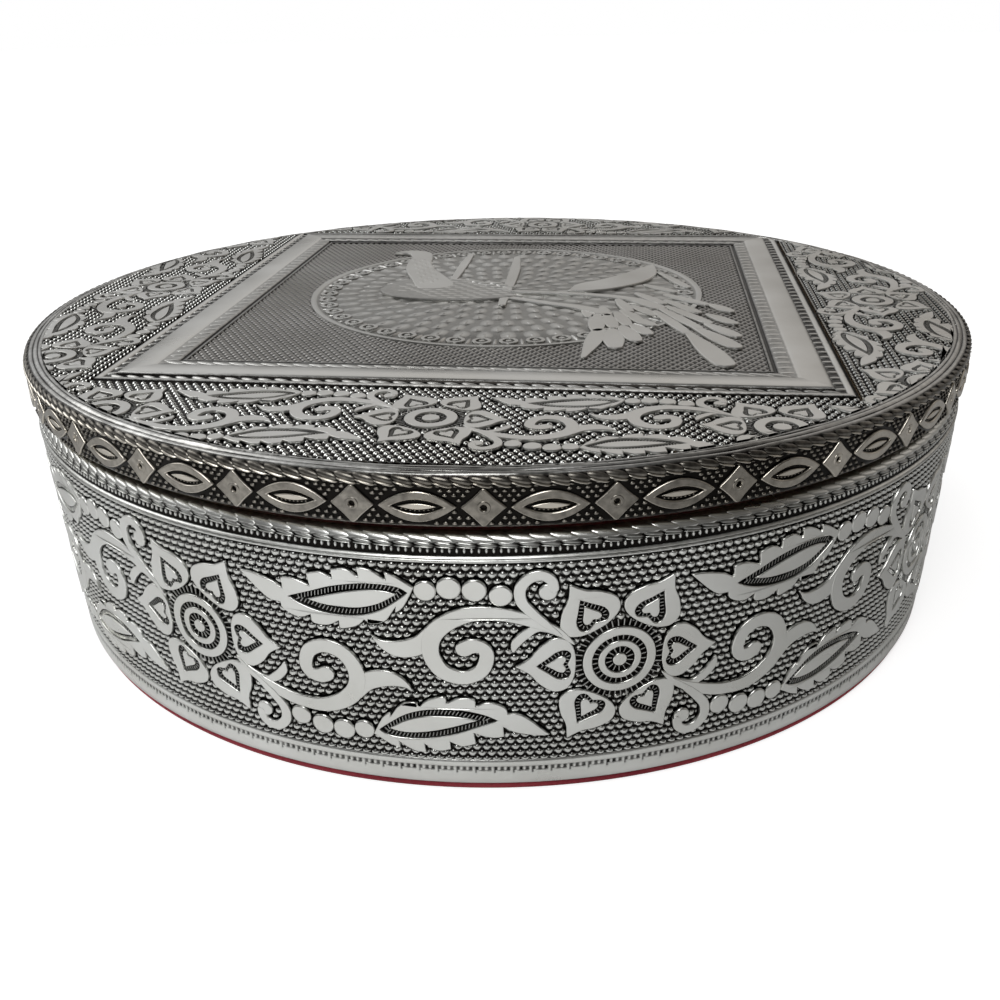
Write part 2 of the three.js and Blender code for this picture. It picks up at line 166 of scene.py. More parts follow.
def on_wall(points):
    """Flat places (along, up, rise) in mm to places round the wall in metres."""
    along, up, rise = np.asarray(points, dtype=float).T
    radius = wall_radius(up) + rise
    turn = along / PLAN_RADIUS
    return np.column_stack([radius * np.sin(turn), -radius * np.cos(turn), up]) * MM


def new_piece(name, verts, faces, material, body, node, polish=None, crease=40):
    """A mesh from places in metres, with its finish, its body and the solid that it stands for."""
    mesh = bpy.data.meshes.new(name)
    mesh.from_pydata(np.asarray(verts).tolist(), [], [list(map(int, face)) for face in faces])
    mesh.validate()
    mesh.polygons.foreach_set("use_smooth", [True] * len(mesh.polygons))
    if crease:
        mesh.set_sharp_from_angle(angle=math.radians(crease))
    if polish is not None:
        level = mesh.attributes.new("polish", "FLOAT", "POINT")
        level.data.foreach_set("value", np.asarray(polish, dtype=np.float32))
    mesh.materials.append(material)
    piece = bpy.data.objects.new(name, mesh)
    bpy.context.scene.collection.objects.link(piece)
    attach(piece, body)
    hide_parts(node)
    return piece


FLAT_TOP = 0.96


def lie_flush(piece, slope=0.0):
    """Gives the flat tops of plates bent round the box the normals of the surface they lie on,
    where the slope is how far that surface leans out for each mm up."""
    mesh = piece.data
    places = np.zeros(len(mesh.vertices) * 3)
    mesh.vertices.foreach_get("co", places)
    outward = places.reshape(-1, 3) * [1, 1, 0]
    outward /= np.linalg.norm(outward, axis=1)[:, None]
    outward[:, 2] = -slope
    outward /= np.linalg.norm(outward, axis=1)[:, None]
    normals = np.zeros_like(outward)
    for face in mesh.polygons:
        corners = list(face.vertices)
        if Vector(outward[corners].mean(0)).dot(face.normal) > FLAT_TOP:
            normals[corners] = outward[corners]
    mesh.normals_split_custom_set_from_vertices(normals.tolist())


def flowing(points, closed=True, steps=CURVE_STEPS):
    """A smooth line through points (x, y) or (x, y, 1), where 1 marks a sharp corner."""
    places = [np.array(point[:2], dtype=float) for point in points]
    sharp = [len(point) > 2 for point in points]
    count = len(places)
    line = []
    last = count if closed else count - 1
    for n in range(last):
        a, b = places[n], places[(n + 1) % count]
        before = places[n - 1] if closed or n else a
        after = places[(n + 2) % count] if closed or n + 2 < count else b
        leave = (b - a) if sharp[n] else (b - before) / 2
        arrive = (b - a) if sharp[(n + 1) % count] else (after - a) / 2
        for step in range(steps):
            t = step / steps
            line.append(
                a * (2 * t**3 - 3 * t**2 + 1)
                + leave * (t**3 - 2 * t**2 + t)
                + b * (3 * t**2 - 2 * t**3)
                + arrive * (t**3 - t**2)
            )
    if not closed:
        line.append(places[-1])
    return np.array(line)


def ribbon(points):
    """The outline of a band through (x, y, width), pointed or round at its ends."""
    middle = flowing([point[:2] for point in points], closed=False)
    knots = np.arange(len(points))
    width = np.interp(np.linspace(0, len(points) - 1, len(middle)), knots, [point[2] for point in points])
    ahead = np.gradient(middle, axis=0)
    ahead /= np.linalg.norm(ahead, axis=1)[:, None]
    side = np.column_stack([-ahead[:, 1], ahead[:, 0]])
    left = middle + side * width[:, None] / 2
    right = middle - side * width[:, None] / 2

    def cap(n, way):
        radius = width[n] / 2
        if radius < POINTED_END:
            return np.empty((0, 2))
        start = math.atan2(side[n][1] * way, side[n][0] * way)
        turns = [start - math.pi * k / 7 for k in range(1, 7)]
        return middle[n] + radius * np.array([[math.cos(t), math.sin(t)] for t in turns])

    return np.concatenate([left, cap(-1, 1), right[::-1], cap(0, -1)])


def circle(x, y, radius, steps=32):
    turns = np.arange(steps) * FULL_TURN / steps
    return np.column_stack([x + radius * np.cos(turns), y + radius * np.sin(turns)])


def turned_by(points, degrees, scale=1.0, shift=(0, 0)):
    """Flat places turned about the origin, scaled and shifted."""
    turn = math.radians(degrees)
    spin = np.array([[math.cos(turn), math.sin(turn)], [-math.sin(turn), math.cos(turn)]])
    points = np.asarray(points, dtype=float)
    plan = points[:, :2] @ spin * scale + np.array(shift)
    return np.column_stack([plan, points[:, 2:]]) if points.shape[1] > 2 else plan


def plate(outlines, rise=PLATE_RISE, edge=PLATE_EDGE, sink=PLATE_SINK):
    """A flat plate with rounded edges from an outer outline and holes, as (places, faces). The
    part of it that is sunk in the sheet has no underside."""
    curve = bpy.data.curves.new("plate", "CURVE")
    curve.dimensions = "2D"
    curve.fill_mode = "BOTH"
    for outline in outlines:
        spline = curve.splines.new("POLY")
        spline.points.add(len(outline) - 1)
        flat = np.zeros((len(outline), 4))
        flat[:, :2] = outline
        flat[:, 3] = 1
        spline.points.foreach_set("co", flat.reshape(-1))
        spline.use_cyclic_u = True
    curve.extrude = (rise + sink) / 2 - edge
    curve.bevel_depth = edge
    curve.bevel_resolution = 1
    curve.offset = -edge
    holder = bpy.data.objects.new("plate", curve)
    bpy.context.scene.collection.objects.link(holder)
    depsgraph = bpy.context.evaluated_depsgraph_get()
    mesh = bpy.data.meshes.new_from_object(holder.evaluated_get(depsgraph))
    places = np.zeros(len(mesh.vertices) * 3)
    mesh.vertices.foreach_get("co", places)
    places = places.reshape(-1, 3) + np.array([0, 0, (rise - sink) / 2])
    faces = [list(face.vertices) for face in mesh.polygons]
    faces = [face for face in faces if places[face, 2].max() > 0.001]
    used, faces_used = np.unique(np.concatenate(faces), return_inverse=True)
    ends = np.cumsum([len(face) for face in faces])[:-1]
    places, faces = places[used], [part.tolist() for part in np.split(faces_used.reshape(-1), ends)]
    bpy.data.objects.remove(holder)
    bpy.data.curves.remove(curve)
    bpy.data.meshes.remove(mesh)
    return places, faces


def cuts_across(line, count, length, width=0.26, slant=0.0):
    """Small bars across a closed line, evenly spaced, as (places, faces)."""
    ring = np.vstack([line, line[:1]])
    run = np.concatenate([[0], np.cumsum(np.linalg.norm(np.diff(ring, axis=0), axis=1))])
    stops = (np.arange(count) + 0.5) * run[-1] / count
    x, y = np.interp(stops, run, ring[:, 0]), np.interp(stops, run, ring[:, 1])
    ahead = np.column_stack([
        np.interp((stops + CUT_RUN) % run[-1], run, ring[:, 0]) - x,
        np.interp((stops + CUT_RUN) % run[-1], run, ring[:, 1]) - y,
    ])
    ahead /= np.maximum(np.linalg.norm(ahead, axis=1), 1e-9)[:, None]
    places, faces = [], []
    for cx, cy, (ax, ay) in zip(x, y, ahead):
        sx, sy = -ay + ax * slant, ax + ay * slant
        start = len(places)
        for up, half, grow in ((VEIN_FLOOR, width / 2, 1.0), (CUT_RISE, width / 5, 0.86)):
            for across, along in ((-1, -1), (1, -1), (1, 1), (-1, 1)):
                places.append((
                    cx + sx * across * length / 2 * grow + ax * along * half,
                    cy + sy * across * length / 2 * grow + ay * along * half,
                    up,
                ))
        faces += [[start + n for n in face] for face in (
            (4, 5, 6, 7), (0, 1, 5, 4), (1, 2, 6, 5), (2, 3, 7, 6), (3, 0, 4, 7), (3, 2, 1, 0),
        )]
    return np.array(places), faces


def joined(parts):
    """Several (places, faces) as one."""
    places, faces, start = [], [], 0
    for some_places, some_faces in parts:
        places.append(np.asarray(some_places, dtype=float))
        faces += [[n + start for n in face] for face in some_faces]
        start += len(some_places)
    return np.concatenate(places), faces


PETAL = [
    (15.1, 0, 1), (13.1, 1.35), (11.7, 3.1), (9.7, 4.5), (7.9, 4.25), (6.9, 2.9), (6.5, 1.1),
    (6.5, -1.1), (6.9, -2.9), (7.9, -4.25), (9.7, -4.5), (11.7, -3.1), (13.1, -1.35),
]
PETAL_SINKING = [
    (12.1, 0, 1), (10.5, 1.2), (9.1, 2.25), (7.8, 2.35), (7.15, 1.5), (7.65, 0, 1),
    (7.15, -1.5), (7.8, -2.35), (9.1, -2.25), (10.5, -1.2),
]
PETAL_HEART = [
    (10.9, 0, 1), (9.8, 0.7), (8.9, 1.3), (8.15, 1.35), (7.85, 0.75), (8.25, 0, 1),
    (7.85, -0.75), (8.15, -1.35), (8.9, -1.3), (9.8, -0.7),
]
WALL_CORE = [(0, 1.05), (2.2, 3.2), (4.1, 5.45)]
CORE_CUTS = [(1.62, 14, 1.0), (3.65, 28, 0.85)]
CORE_FRILL = (6.15, 44, 1.25)

LEAF = [
    (-55.4, 12.3, 1), (-53.8, 12.3), (-51.6, 11.9), (-49.9, 11.4), (-48.5, 10.5, 1),
    (-48.6, 12.3, 1), (-47.2, 12.5), (-45.6, 12.2), (-44.1, 11.6, 1),
    (-44.4, 13.6, 1), (-42.7, 14.1), (-41.6, 13.9), (-40.5, 13.3, 1),
    (-40.6, 14.7, 1), (-39.0, 15.1), (-37.8, 14.8), (-36.6, 13.9, 1),
    (-36.8, 15.5, 1), (-35.4, 15.4), (-33.9, 14.7), (-32.7, 13.8, 1),
    (-32.9, 15.1, 1), (-31.4, 14.5), (-30.0, 13.6), (-28.9, 12.9, 1),
    (-29.6, 11.4), (-30.6, 9.6), (-31.7, 8.7), (-31.6, 9.7, 1),
    (-33.0, 7.5), (-34.4, 6.6), (-35.9, 6.6), (-35.9, 7.7, 1),
    (-37.2, 6.2), (-38.7, 5.5), (-40.1, 5.3), (-40.2, 6.5, 1),
    (-41.7, 5.6), (-43.2, 5.4), (-44.4, 5.7), (-44.5, 6.9, 1),
    (-46.0, 6.2), (-47.6, 6.4), (-48.9, 7.2), (-49.2, 8.2, 1),
    (-50.8, 8.3), (-52.2, 9.2), (-53.8, 10.7),
]
LEAF_VEIN = [
    (-47.8, 9.4, 1), (-44.4, 10.7), (-41.0, 12.0), (-37.0, 12.9), (-33.8, 13.1), (-31.2, 12.8),
    (-29.8, 12.0, 1), (-31.9, 10.3), (-34.1, 8.8), (-36.9, 7.8), (-40.2, 7.5), (-43.2, 7.7), (-45.8, 8.4),
]
LEAF_EYE = [
    (-44.8, 9.4, 1), (-41.0, 10.7), (-38.2, 11.5), (-35.5, 12.0), (-33.0, 12.0),
    (-31.4, 11.6, 1), (-34.1, 9.9), (-36.9, 9.0), (-39.6, 8.8), (-42.4, 8.9),
]
BEADS = [(-27.4, 12.4, 1.6), (-24.1, 12.9, 1.74), (-20.6, 12.6, 1.74), (-17.0, 11.7, 1.66)]
SCROLL = [
    (-6.7, 3.3, 0.25), (-8.9, 5.5, 1.2), (-12.2, 7.3, 1.8), (-15.6, 8.5, 2.0), (-18.1, 8.9, 2.1),
    (-20.9, 8.9, 2.35), (-23.6, 8.0, 2.6), (-25.9, 6.3, 2.8), (-27.0, 4.2, 2.6), (-27.0, 1.8, 2.5),
    (-25.8, -0.5, 2.45), (-23.9, -1.6, 2.3), (-21.9, -1.7, 2.2), (-19.9, -0.5, 2.2),
    (-19.1, 1.8, 2.1), (-19.7, 3.3, 2.0), (-21.2, 3.6, 2.4), (-22.3, 3.1, 2.5),
]
SPUR = [
    (-35.6, 4.6, 1), (-34.0, 3.9), (-31.6, 4.0), (-29.2, 4.9), (-26.9, 6.9), (-26.6, 3.4),
    (-28.3, 2.0), (-30.6, 1.3), (-32.6, 1.5), (-34.4, 2.7),
]
SPROUT = [
    (-15.4, 2.5, 0.3), (-15.0, 3.9, 1.4), (-13.6, 5.4, 1.5), (-11.6, 6.3, 1.0), (-8.6, 5.1, 0.9),
    (-6.9, 3.5, 0.25),
]
CURL = [
    (-8.4, 4.8, 0.3), (-11.0, 7.2, 1.2), (-13.0, 9.2, 1.5), (-14.2, 10.9, 1.6), (-14.3, 12.9, 1.65),
    (-13.1, 14.4, 1.6), (-11.4, 14.8, 1.55), (-10.1, 14.0, 1.5), (-9.7, 12.7, 1.4),
]
CURL_END = (-10.5, 12.1, 1.3)
LEAF_VEIN_MIDDLE = [
    (-46.4, 9.4), (-42.6, 10.8), (-39.4, 11.9), (-36.2, 12.5), (-33.4, 12.6), (-30.9, 12.0),
    (-33.0, 10.1), (-35.5, 8.8), (-38.4, 8.2), (-41.4, 8.2), (-44.1, 8.8),
]


def sunk_floor(outlines, rise=VEIN_FLOOR):
    return plate(outlines, rise=rise, edge=FLOOR_EDGE)


def flower_parts(core, core_cuts):
    """A six-petalled flower about the origin: plates, cuts and outlines."""
    plates, cuts, outlines = [], [], []
    for n in range(PETALS):
        turn = 360 * n / PETALS
        outer = turned_by(flowing(PETAL), turn)
        sinking = turned_by(flowing(PETAL_SINKING, steps=FINE_STEPS), turn)
        heart = turned_by(flowing(PETAL_HEART, steps=FINE_STEPS), turn)
        plates.append(plate([outer, sinking], rise=PLATE_RISE + 0.02 * (n % 2)))
        plates.append(plate([heart], rise=PLATE_RISE - 0.06))
        cuts.append(sunk_floor([sinking]))
        cuts.append(cuts_across((sinking + heart) / 2, 22, 0.62, width=0.24))
        outlines.append(outer)
    for inner, outer in core:
        rings = [circle(0, 0, outer, 56)] + ([circle(0, 0, inner, 48)] if inner else [])
        plates.append(plate(rings, rise=PLATE_RISE + 0.05))
    core_inside, core_reach = core[-1]
    cuts.append(sunk_floor([circle(0, 0, core_inside + 0.2, 48)]))
    for radius, count, length in core_cuts:
        cuts.append(cuts_across(circle(0, 0, radius, 64), count, length, width=0.3))
    radius, count, length = CORE_FRILL
    frill_edges = [circle(0, 0, radius + length / 2, 48), circle(0, 0, core_reach - 0.3, 48)]
    cuts.append(sunk_floor(frill_edges, VEIN_FLOOR - 0.02))
    cuts.append(cuts_across(circle(0, 0, radius, 96), count, length, width=0.34))
    outlines.append(circle(0, 0, core_reach + 0.6, 48))
    return plates, cuts, outlines


def spray_parts():
    """The spray that grows from a flower up and to the left: leaf, beads, scroll and curl."""
    plates, cuts, outlines = [], [], []
    leaf, vein, eye = flowing(LEAF, steps=3), flowing(LEAF_VEIN), flowing(LEAF_EYE)
    plates.append(plate([leaf, vein], rise=PLATE_RISE))
    plates.append(plate([eye], rise=PLATE_RISE - 0.06))
    cuts.append(sunk_floor([vein]))
    cuts.append(cuts_across(flowing(LEAF_VEIN_MIDDLE), 58, 0.82, width=0.27, slant=0.45))
    outlines.append(leaf)
    for n, (x, y, radius) in enumerate(BEADS):
        bead = circle(x, y, radius, 28)
        plates.append(plate([bead], rise=PLATE_RISE - 0.03 - 0.02 * (n % 2), edge=0.22))
        outlines.append(bead)
    bands = ((ribbon(SCROLL), 0.04), (flowing(SPUR), 0.01), (ribbon(SPROUT), -0.01), (ribbon(CURL), 0.07))
    for band, lift in bands:
        plates.append(plate([band], rise=PLATE_RISE + lift))
        outlines.append(band)
    plates.append(plate([circle(*CURL_END, 24)], rise=PLATE_RISE + 0.02, edge=0.2))
    outlines.append(circle(*CURL_END, 24))
    return plates, cuts, outlines


def placed(parts, degrees, scale, shift):
    """Flat parts turned, scaled and shifted in plan, with the rise left as it is."""
    return [(turned_by(places, degrees, scale, shift), faces) for places, faces in parts]


spray = spray_parts()


def flower_with_sprays(flower, centre, scale=1):
    """A flower about a centre with a spray on each side of it: plates, cuts and outlines."""
    plates, cuts, outlines = [], [], []
    for turn, (some_plates, some_cuts, some_outlines) in ((0, flower), (0, spray), (180, spray)):
        plates += placed(some_plates, turn, scale, centre)
        cuts += placed(some_cuts, turn, scale, centre)
        outlines += [turned_by(line, turn, scale, centre) for line in some_outlines]
    return plates, cuts, outlines


def polish_by_rise(rise, low=0.05, high=0.45):
    return np.clip((rise - low) / (high - low), 0, 1)


def held_within(parts, hold):
    """Flat parts cut off at an edge: places past it are brought back to it, faces past it go."""
    kept = []
    for places, faces in parts:
        moved, past = hold(np.array(places))
        if not past.all():
            kept.append((moved, [face for face in faces if not past[list(face)].all()]))
    return kept


last_seam = SEAM_TURN * PLAN_RADIUS
first_seam = last_seam - FULL_TURN * PLAN_RADIUS


def short_of_seam(places):
    along = places[:, 0]
    past = (along < first_seam + SEAM_EDGE) | (along > last_seam - SEAM_EDGE)
    places[:, 0] = np.clip(along, first_seam + SEAM_EDGE, last_seam - SEAM_EDGE)
    return places, past


wall_flower = flower_parts(WALL_CORE, CORE_CUTS)
wall_plates, wall_cuts, wall_outlines = [], [], []
for repeat in REPEATS:
    centre = (FRONT_FLOWER_TURN * PLAN_RADIUS + REPEAT * repeat, FLOWER_Z)
    some_plates, some_cuts, some_outlines = flower_with_sprays(wall_flower, centre)
    if repeat in REPEATS_AT_SEAM:
        some_plates = held_within(some_plates, short_of_seam)
        some_cuts = held_within(some_cuts, short_of_seam)
    wall_plates += some_plates
    wall_cuts += some_cuts
    wall_outlines += some_outlines

plate_places, plate_faces = joined(wall_plates)
wall_flowers = new_piece("wall_flowers", on_wall(plate_places), plate_faces, wall_metal, "box", "side_sheet",
                         polish=polish_by_rise(plate_places[:, 2]))
lie_flush(wall_flowers, (RIM_RADIUS - FOOT_RADIUS) / (RIM_Z - FOOT_Z))
cut_places, cut_faces = joined(wall_cuts)
new_piece("wall_veins", on_wall(cut_places), cut_faces, wall_metal, "box", "side_sheet",
          polish=polish_by_rise(cut_places[:, 2], 0.12, 0.6))


# The wall's ground: between the flowers the same sheet is pressed all over with small domes
# in staggered rows. The hollows between the domes are blackened and the domes are rubbed
# bright. It goes round in equal lengths that meet edge to edge.

DOME_PITCH = 1.44
DOME_ROW = 1.13
DOME_RISE = 0.42
DOME_DEPTH = 0.54
DOME_RINGS = [(0.34, -0.15), (0.57, -0.62)]
HOLLOW_EDGE_FALL = -0.94
GROUND_LOW_Z = 5.9
GROUND_HIGH_Z = 40.0
GROUND_LENGTHS = 9
MOAT = 0.4
WELDS_PER_MM = 2000
dot_metal = patina_metal("rubbed white metal, dots of the ground", (0.72, 0.73, 0.71), BLACK_PATINA, 0.22)


def domed_ground(columns, rows, pitch, row, rings, keep=None, start=(0, 0)):
    """Staggered round domes on a flat field, as (places, falls, leans, triangles). Each dome has
    a crown, rings of (radius, fall) round it and a hollow that it shares with its neighbours.
    The lean says how far a place lies on the upper side of its dome."""
    i, j = np.meshgrid(np.arange(columns + 1), np.arange(rows + 1), indexing="ij")
    crown = np.stack([(i + 0.5 * (j % 2)) * pitch, j * row], axis=-1) + np.array(start)

    here = np.stack([i[:-1, :-1], j[:-1, :-1]], -1)
    odd = (j[:-1, :-1] % 2)[..., None]
    beside, above = np.array([1, 0]), np.array([0, 1])
    upright = (here, here + beside, here + above + beside * odd)
    hanging = (here + above, here + beside * (1 - odd), here + above + beside)
    cells = np.concatenate([np.stack(three, axis=2).reshape(-1, 3, 2) for three in (upright, hanging)])
    inside = (cells[..., 0] <= columns).all(1) & (cells[..., 1] <= rows).all(1)
    cells = cells[inside]
    plan = crown[cells[..., 0], cells[..., 1]]
    if keep is not None:
        held = keep(plan.mean(1))
        cells, plan = cells[held], plan[held]

    places, faces, levels, sides = [], [], [], []
    centre = plan.mean(1)
    count = len(cells)
    for k in range(3):
        a, b, c = plan[:, k], plan[:, (k + 1) % 3], plan[:, (k + 2) % 3]
        ways = [(end - a) / np.linalg.norm(end - a, axis=1)[:, None] for end in (b, centre, c)]
        block = [(a, 0.0)]
        for radius, fall in rings:
            block += [(a + way * radius, fall) for way in ways]
        block += [((a + b) / 2, HOLLOW_EDGE_FALL), (centre, -1.0), ((a + c) / 2, HOLLOW_EDGE_FALL)]
        first = sum(len(part) for part in places)
        for flat, fall in block:
            places.append(flat)
            levels.append(np.full(count, fall))
            sides.append((flat - a)[:, 1])
        at = [first + n * count + np.arange(count) for n in range(len(block))]
        corners = [(0, 1, 2), (0, 2, 3)]
        for ring in range(len(rings)):
            for n in (3 * ring + 1, 3 * ring + 2):
                corners += [(n, n + 3, n + 4), (n, n + 4, n + 1)]
        for one, two, three in corners:
            faces.append(np.column_stack([at[one], at[two], at[three]]))
    flat = np.concatenate(places)
    fall = np.concatenate(levels)
    triangles = np.concatenate(faces)
    key = np.round(np.column_stack([flat, fall]) * WELDS_PER_MM).astype(np.int64)
    _, index, inverse = np.unique(key, axis=0, return_index=True, return_inverse=True)
    triangles = inverse.reshape(-1)[triangles]
    return flat[index], fall[index], np.concatenate(sides)[index], triangles


def outline_tree(outlines, spacing=0.25):
    """A search tree of places along closed outlines."""
    places = []
    for outline in outlines:
        ring = np.asarray(outline, dtype=float)
        ahead = np.roll(ring, -1, axis=0)
        for start, end in zip(ring, ahead):
            pieces = max(1, int(np.linalg.norm(end - start) / spacing))
            for step in range(pieces):
                places.append(start + (end - start) * step / pieces)
    tree = KDTree(len(places))
    for number, place in enumerate(places):
        tree.insert((place[0], place[1], 0), number)
    tree.balance()
    return tree


def sink_by_outlines(flat, fall, outlines, tree, moat):
    """Presses the ground down to its hollow level inside the outlines and close to them."""
    gap = np.array([tree.find((x, y, 0))[2] for x, y in flat])
    hold = np.clip(gap / moat, 0, 1) ** 2
    for outline in outlines:
        ring = np.asarray(outline, dtype=float)
        near = np.flatnonzero(((flat > ring.min(0)) & (flat < ring.max(0))).all(1))
        x, y = flat[near].T
        inside = np.zeros(len(near), dtype=bool)
        for (x0, y0), (x1, y1) in zip(ring, np.roll(ring, -1, axis=0)):
            if y0 != y1:
                inside ^= ((y0 > y) != (y1 > y)) & (x < (x1 - x0) * (y - y0) / (y1 - y0) + x0)
        hold[near[inside]] = 0
    return fall * hold - (1 - hold)


def dome_polish_and_shade(fall, lean):
    """Rubbed bright on the crown and below it, black down in the hollows; the upper side of each dome is
    painted darker, a painted shade for the dark room that it mirrors.
    """
    return np.clip(1.55 + fall * 1.55 - 1.7 * np.clip(lean, 0, None), 0, 1)


wall_tree = outline_tree(wall_outlines)
rows = int((GROUND_HIGH_Z - GROUND_LOW_Z) / DOME_ROW)
columns_round = int(round(FULL_TURN * PLAN_RADIUS / DOME_PITCH / GROUND_LENGTHS)) * GROUND_LENGTHS
pitch_round = FULL_TURN * PLAN_RADIUS / columns_round
columns_each = columns_round // GROUND_LENGTHS
for length in range(GROUND_LENGTHS):
    flat, fall, lean, triangles = domed_ground(columns_each, rows, pitch_round, DOME_ROW, DOME_RINGS)
    flat = flat + np.array([first_seam + length * columns_each * pitch_round, GROUND_LOW_Z])
    fall = sink_by_outlines(flat, fall, wall_outlines, wall_tree, MOAT)
    piece_places = np.column_stack([flat, DOME_RISE + fall * DOME_DEPTH])
    # The polish of the wall's domes holds a painted shade on their upper sides.
    new_piece(f"wall_ground_{length + 1}", on_wall(piece_places), triangles, dot_metal, "box",
              "side_sheet", polish=dome_polish_and_shade(fall, lean), crease=None)


# The wall's borders, pressed in the same sheet: a rim rolled over the top of the wall and
# dressed as a rope of two rows of lobes, a comb of short teeth, a double ridge, a plain band
# at the foot with punched ticks, and the lapped seam at the back.

ROLL_RADIUS = 1.9
ROLL_Z = RIM_Z - ROLL_RADIUS
ROLL_CENTRE = wall_radius(ROLL_Z) - ROLL_RADIUS
ROPE_STRANDS = 196
COMB_TEETH = 564
FOOT_TICKS = 582
LIP_RADIUS = 82.95


def grid_faces(rows, columns, closed=False, flipped=False):
    """Faces of a grid of places, row after row. A closed grid joins its last row to its first."""
    i, k = np.meshgrid(np.arange(rows if closed else rows - 1), np.arange(columns - 1), indexing="ij")
    here, beside = (i * columns + k).ravel(), ((i + 1) % rows * columns + k).ravel()
    corners = [here, here + 1, beside + 1, beside] if flipped else [here, beside, beside + 1, here + 1]
    return np.column_stack(corners).tolist()


def turned_skin(profile, steps=360, cap=False):
    """A skin turned about the Z axis from a profile of (radius, height) in mm."""
    radius, height = np.asarray(profile, dtype=float)[:, :2].T
    turns = np.arange(steps) * FULL_TURN / steps
    places = np.stack([
        np.outer(np.sin(turns), radius),
        -np.outer(np.cos(turns), radius),
        np.tile(height, (steps, 1)),
    ], axis=-1).reshape(-1, 3)
    faces = grid_faces(steps, len(radius), closed=True)
    if cap:
        faces.append((np.arange(steps) * len(radius))[::-1].tolist())
    return places * MM, faces


def polish_along(profile, times):
    """The polish of a profile of (place, height, polish), as often as the profile stands there."""
    return np.tile([polish for _, _, polish in profile], times)


def on_roll(centre_radius, centre_z, roll):
    """Lays (along, arc, rise) in mm on a rolled edge; the arc starts at its outermost line."""
    def lay(points):
        along, arc, rise = np.asarray(points, dtype=float).T
        radius = centre_radius + (roll + rise) * np.cos(arc / roll)
        turn = along / PLAN_RADIUS
        up = centre_z + (roll + rise) * np.sin(arc / roll)
        return np.column_stack([radius * np.sin(turn), -radius * np.cos(turn), up]) * MM
    return lay


LOBE_ROUNDNESS = 2.6
LOBE_SINK = 0.12


def lobes(stops, length, width, height, slant, base=0.0, rows=9, columns=5):
    """Rounded lobes, one at each stop, their long way turned by the slant in degrees."""
    stops = np.asarray(stops, dtype=float)
    p, q = np.meshgrid(np.linspace(-1, 1, rows), np.linspace(-1, 1, columns), indexing="ij")
    p, q = p.ravel(), q.ravel()
    across = np.sqrt(np.clip(1 - np.abs(p) ** LOBE_ROUNDNESS, 0.02, 1))
    x, y = p * length / 2, q * across * width / 2
    rise = base + height * (across * np.cos(q * math.pi / 2)) - LOBE_SINK * (np.abs(q) > 0.99)
    turn = np.radians(np.broadcast_to(slant, len(stops)))[:, None]
    plan_x = stops[:, :1] + x * np.cos(turn) - y * np.sin(turn)
    plan_y = stops[:, 1:2] + x * np.sin(turn) + y * np.cos(turn)
    places = np.stack([plan_x, plan_y, np.broadcast_to(rise, plan_x.shape)], axis=-1).reshape(-1, 3)
    faces = np.arange(len(stops))[:, None, None] * rows * columns + np.array(grid_faces(rows, columns))
    return places, faces.reshape(-1, 4).tolist()


def stops_round(count, up, shift=0.0):
    along = (np.arange(count) + shift) * FULL_TURN * PLAN_RADIUS / count
    return np.column_stack([along, np.full(count, up)])


RIM_STEPS = 432
RIDGE = [
    (38.95, -0.3, 0), (39.15, -0.1, 0), (39.3, 0.1, 0.1), (39.42, 0.34, 0.6), (39.6, 0.45, 0.72),
    (39.76, 0.37, 0.6), (39.88, 0.26, 0.4), (40.02, 0.37, 0.6), (40.2, 0.46, 0.72), (40.36, 0.34, 0.6),
    (40.48, 0.0, 0.05), (41.0, -0.1, 0),
]
ROLL = [
    (4, 0.0, 0.0), (20, 0.0, 0.1), (32, 0.0, 0.5), (55, 0.0, 0.7), (75, 0.0, 0.5), (92, 0.0, 0.4),
    (96, 0.05, 0.7),
]
RIM_INSIDE = [
    (85.0, RIM_Z, 0.85), (84.0, RIM_Z - 0.02, 0.85), (83.1, RIM_Z, 0.9), (LIP_RADIUS, RIM_Z - 0.15, 0.9),
    (LIP_RADIUS, RIM_Z - 0.5, 0.4),
]
rim_profile = [(wall_radius(z) + rise, z, polish) for z, rise, polish in RIDGE]
for degrees, rise, polish in ROLL:
    turn, reach = math.radians(degrees), ROLL_RADIUS + rise
    rim_profile.append((ROLL_CENTRE + reach * math.cos(turn), ROLL_Z + reach * math.sin(turn), polish))
rim_profile += RIM_INSIDE
rim_places, rim_faces = turned_skin(rim_profile, RIM_STEPS)
new_piece("wall_rim", rim_places, rim_faces, wall_metal, "box", "side_sheet",
          polish=polish_along(rim_profile, RIM_STEPS), crease=60)

on_rim = on_roll(ROLL_CENTRE, ROLL_Z, ROLL_RADIUS)
upper_rope = lobes(stops_round(ROPE_STRANDS, 1.55), length=3.9, width=1.5, height=0.07, slant=-12, base=0.12)
lower_rope = lobes(stops_round(ROPE_STRANDS, 0.68, 0.33), length=3.0, width=0.85, height=0.2, slant=-8)
lower_edge = lobes(stops_round(ROPE_STRANDS, 0.3, 0.33), length=2.7, width=0.26, height=0.3, slant=-3, rows=7)
rope_places, rope_faces = joined([upper_rope, lower_rope, lower_edge])
rope_polish = np.concatenate([
    polish_by_rise(upper_rope[0][:, 2], -0.05, 0.08), polish_by_rise(lower_rope[0][:, 2], -0.1, 0.5),
    polish_by_rise(lower_edge[0][:, 2], 0.0, 0.15),
])
new_piece("wall_rim_rope", on_rim(rope_places), rope_faces, wall_metal, "box", "side_sheet",
          polish=rope_polish, crease=None)
comb_places, comb_faces = lobes(
    stops_round(COMB_TEETH, -0.17), length=0.85, width=0.6, height=0.28, slant=90, rows=7)
new_piece("wall_comb", on_rim(comb_places), comb_faces, wall_metal, "box", "side_sheet",
          polish=polish_by_rise(comb_places[:, 2], 0.06, 0.3), crease=None)

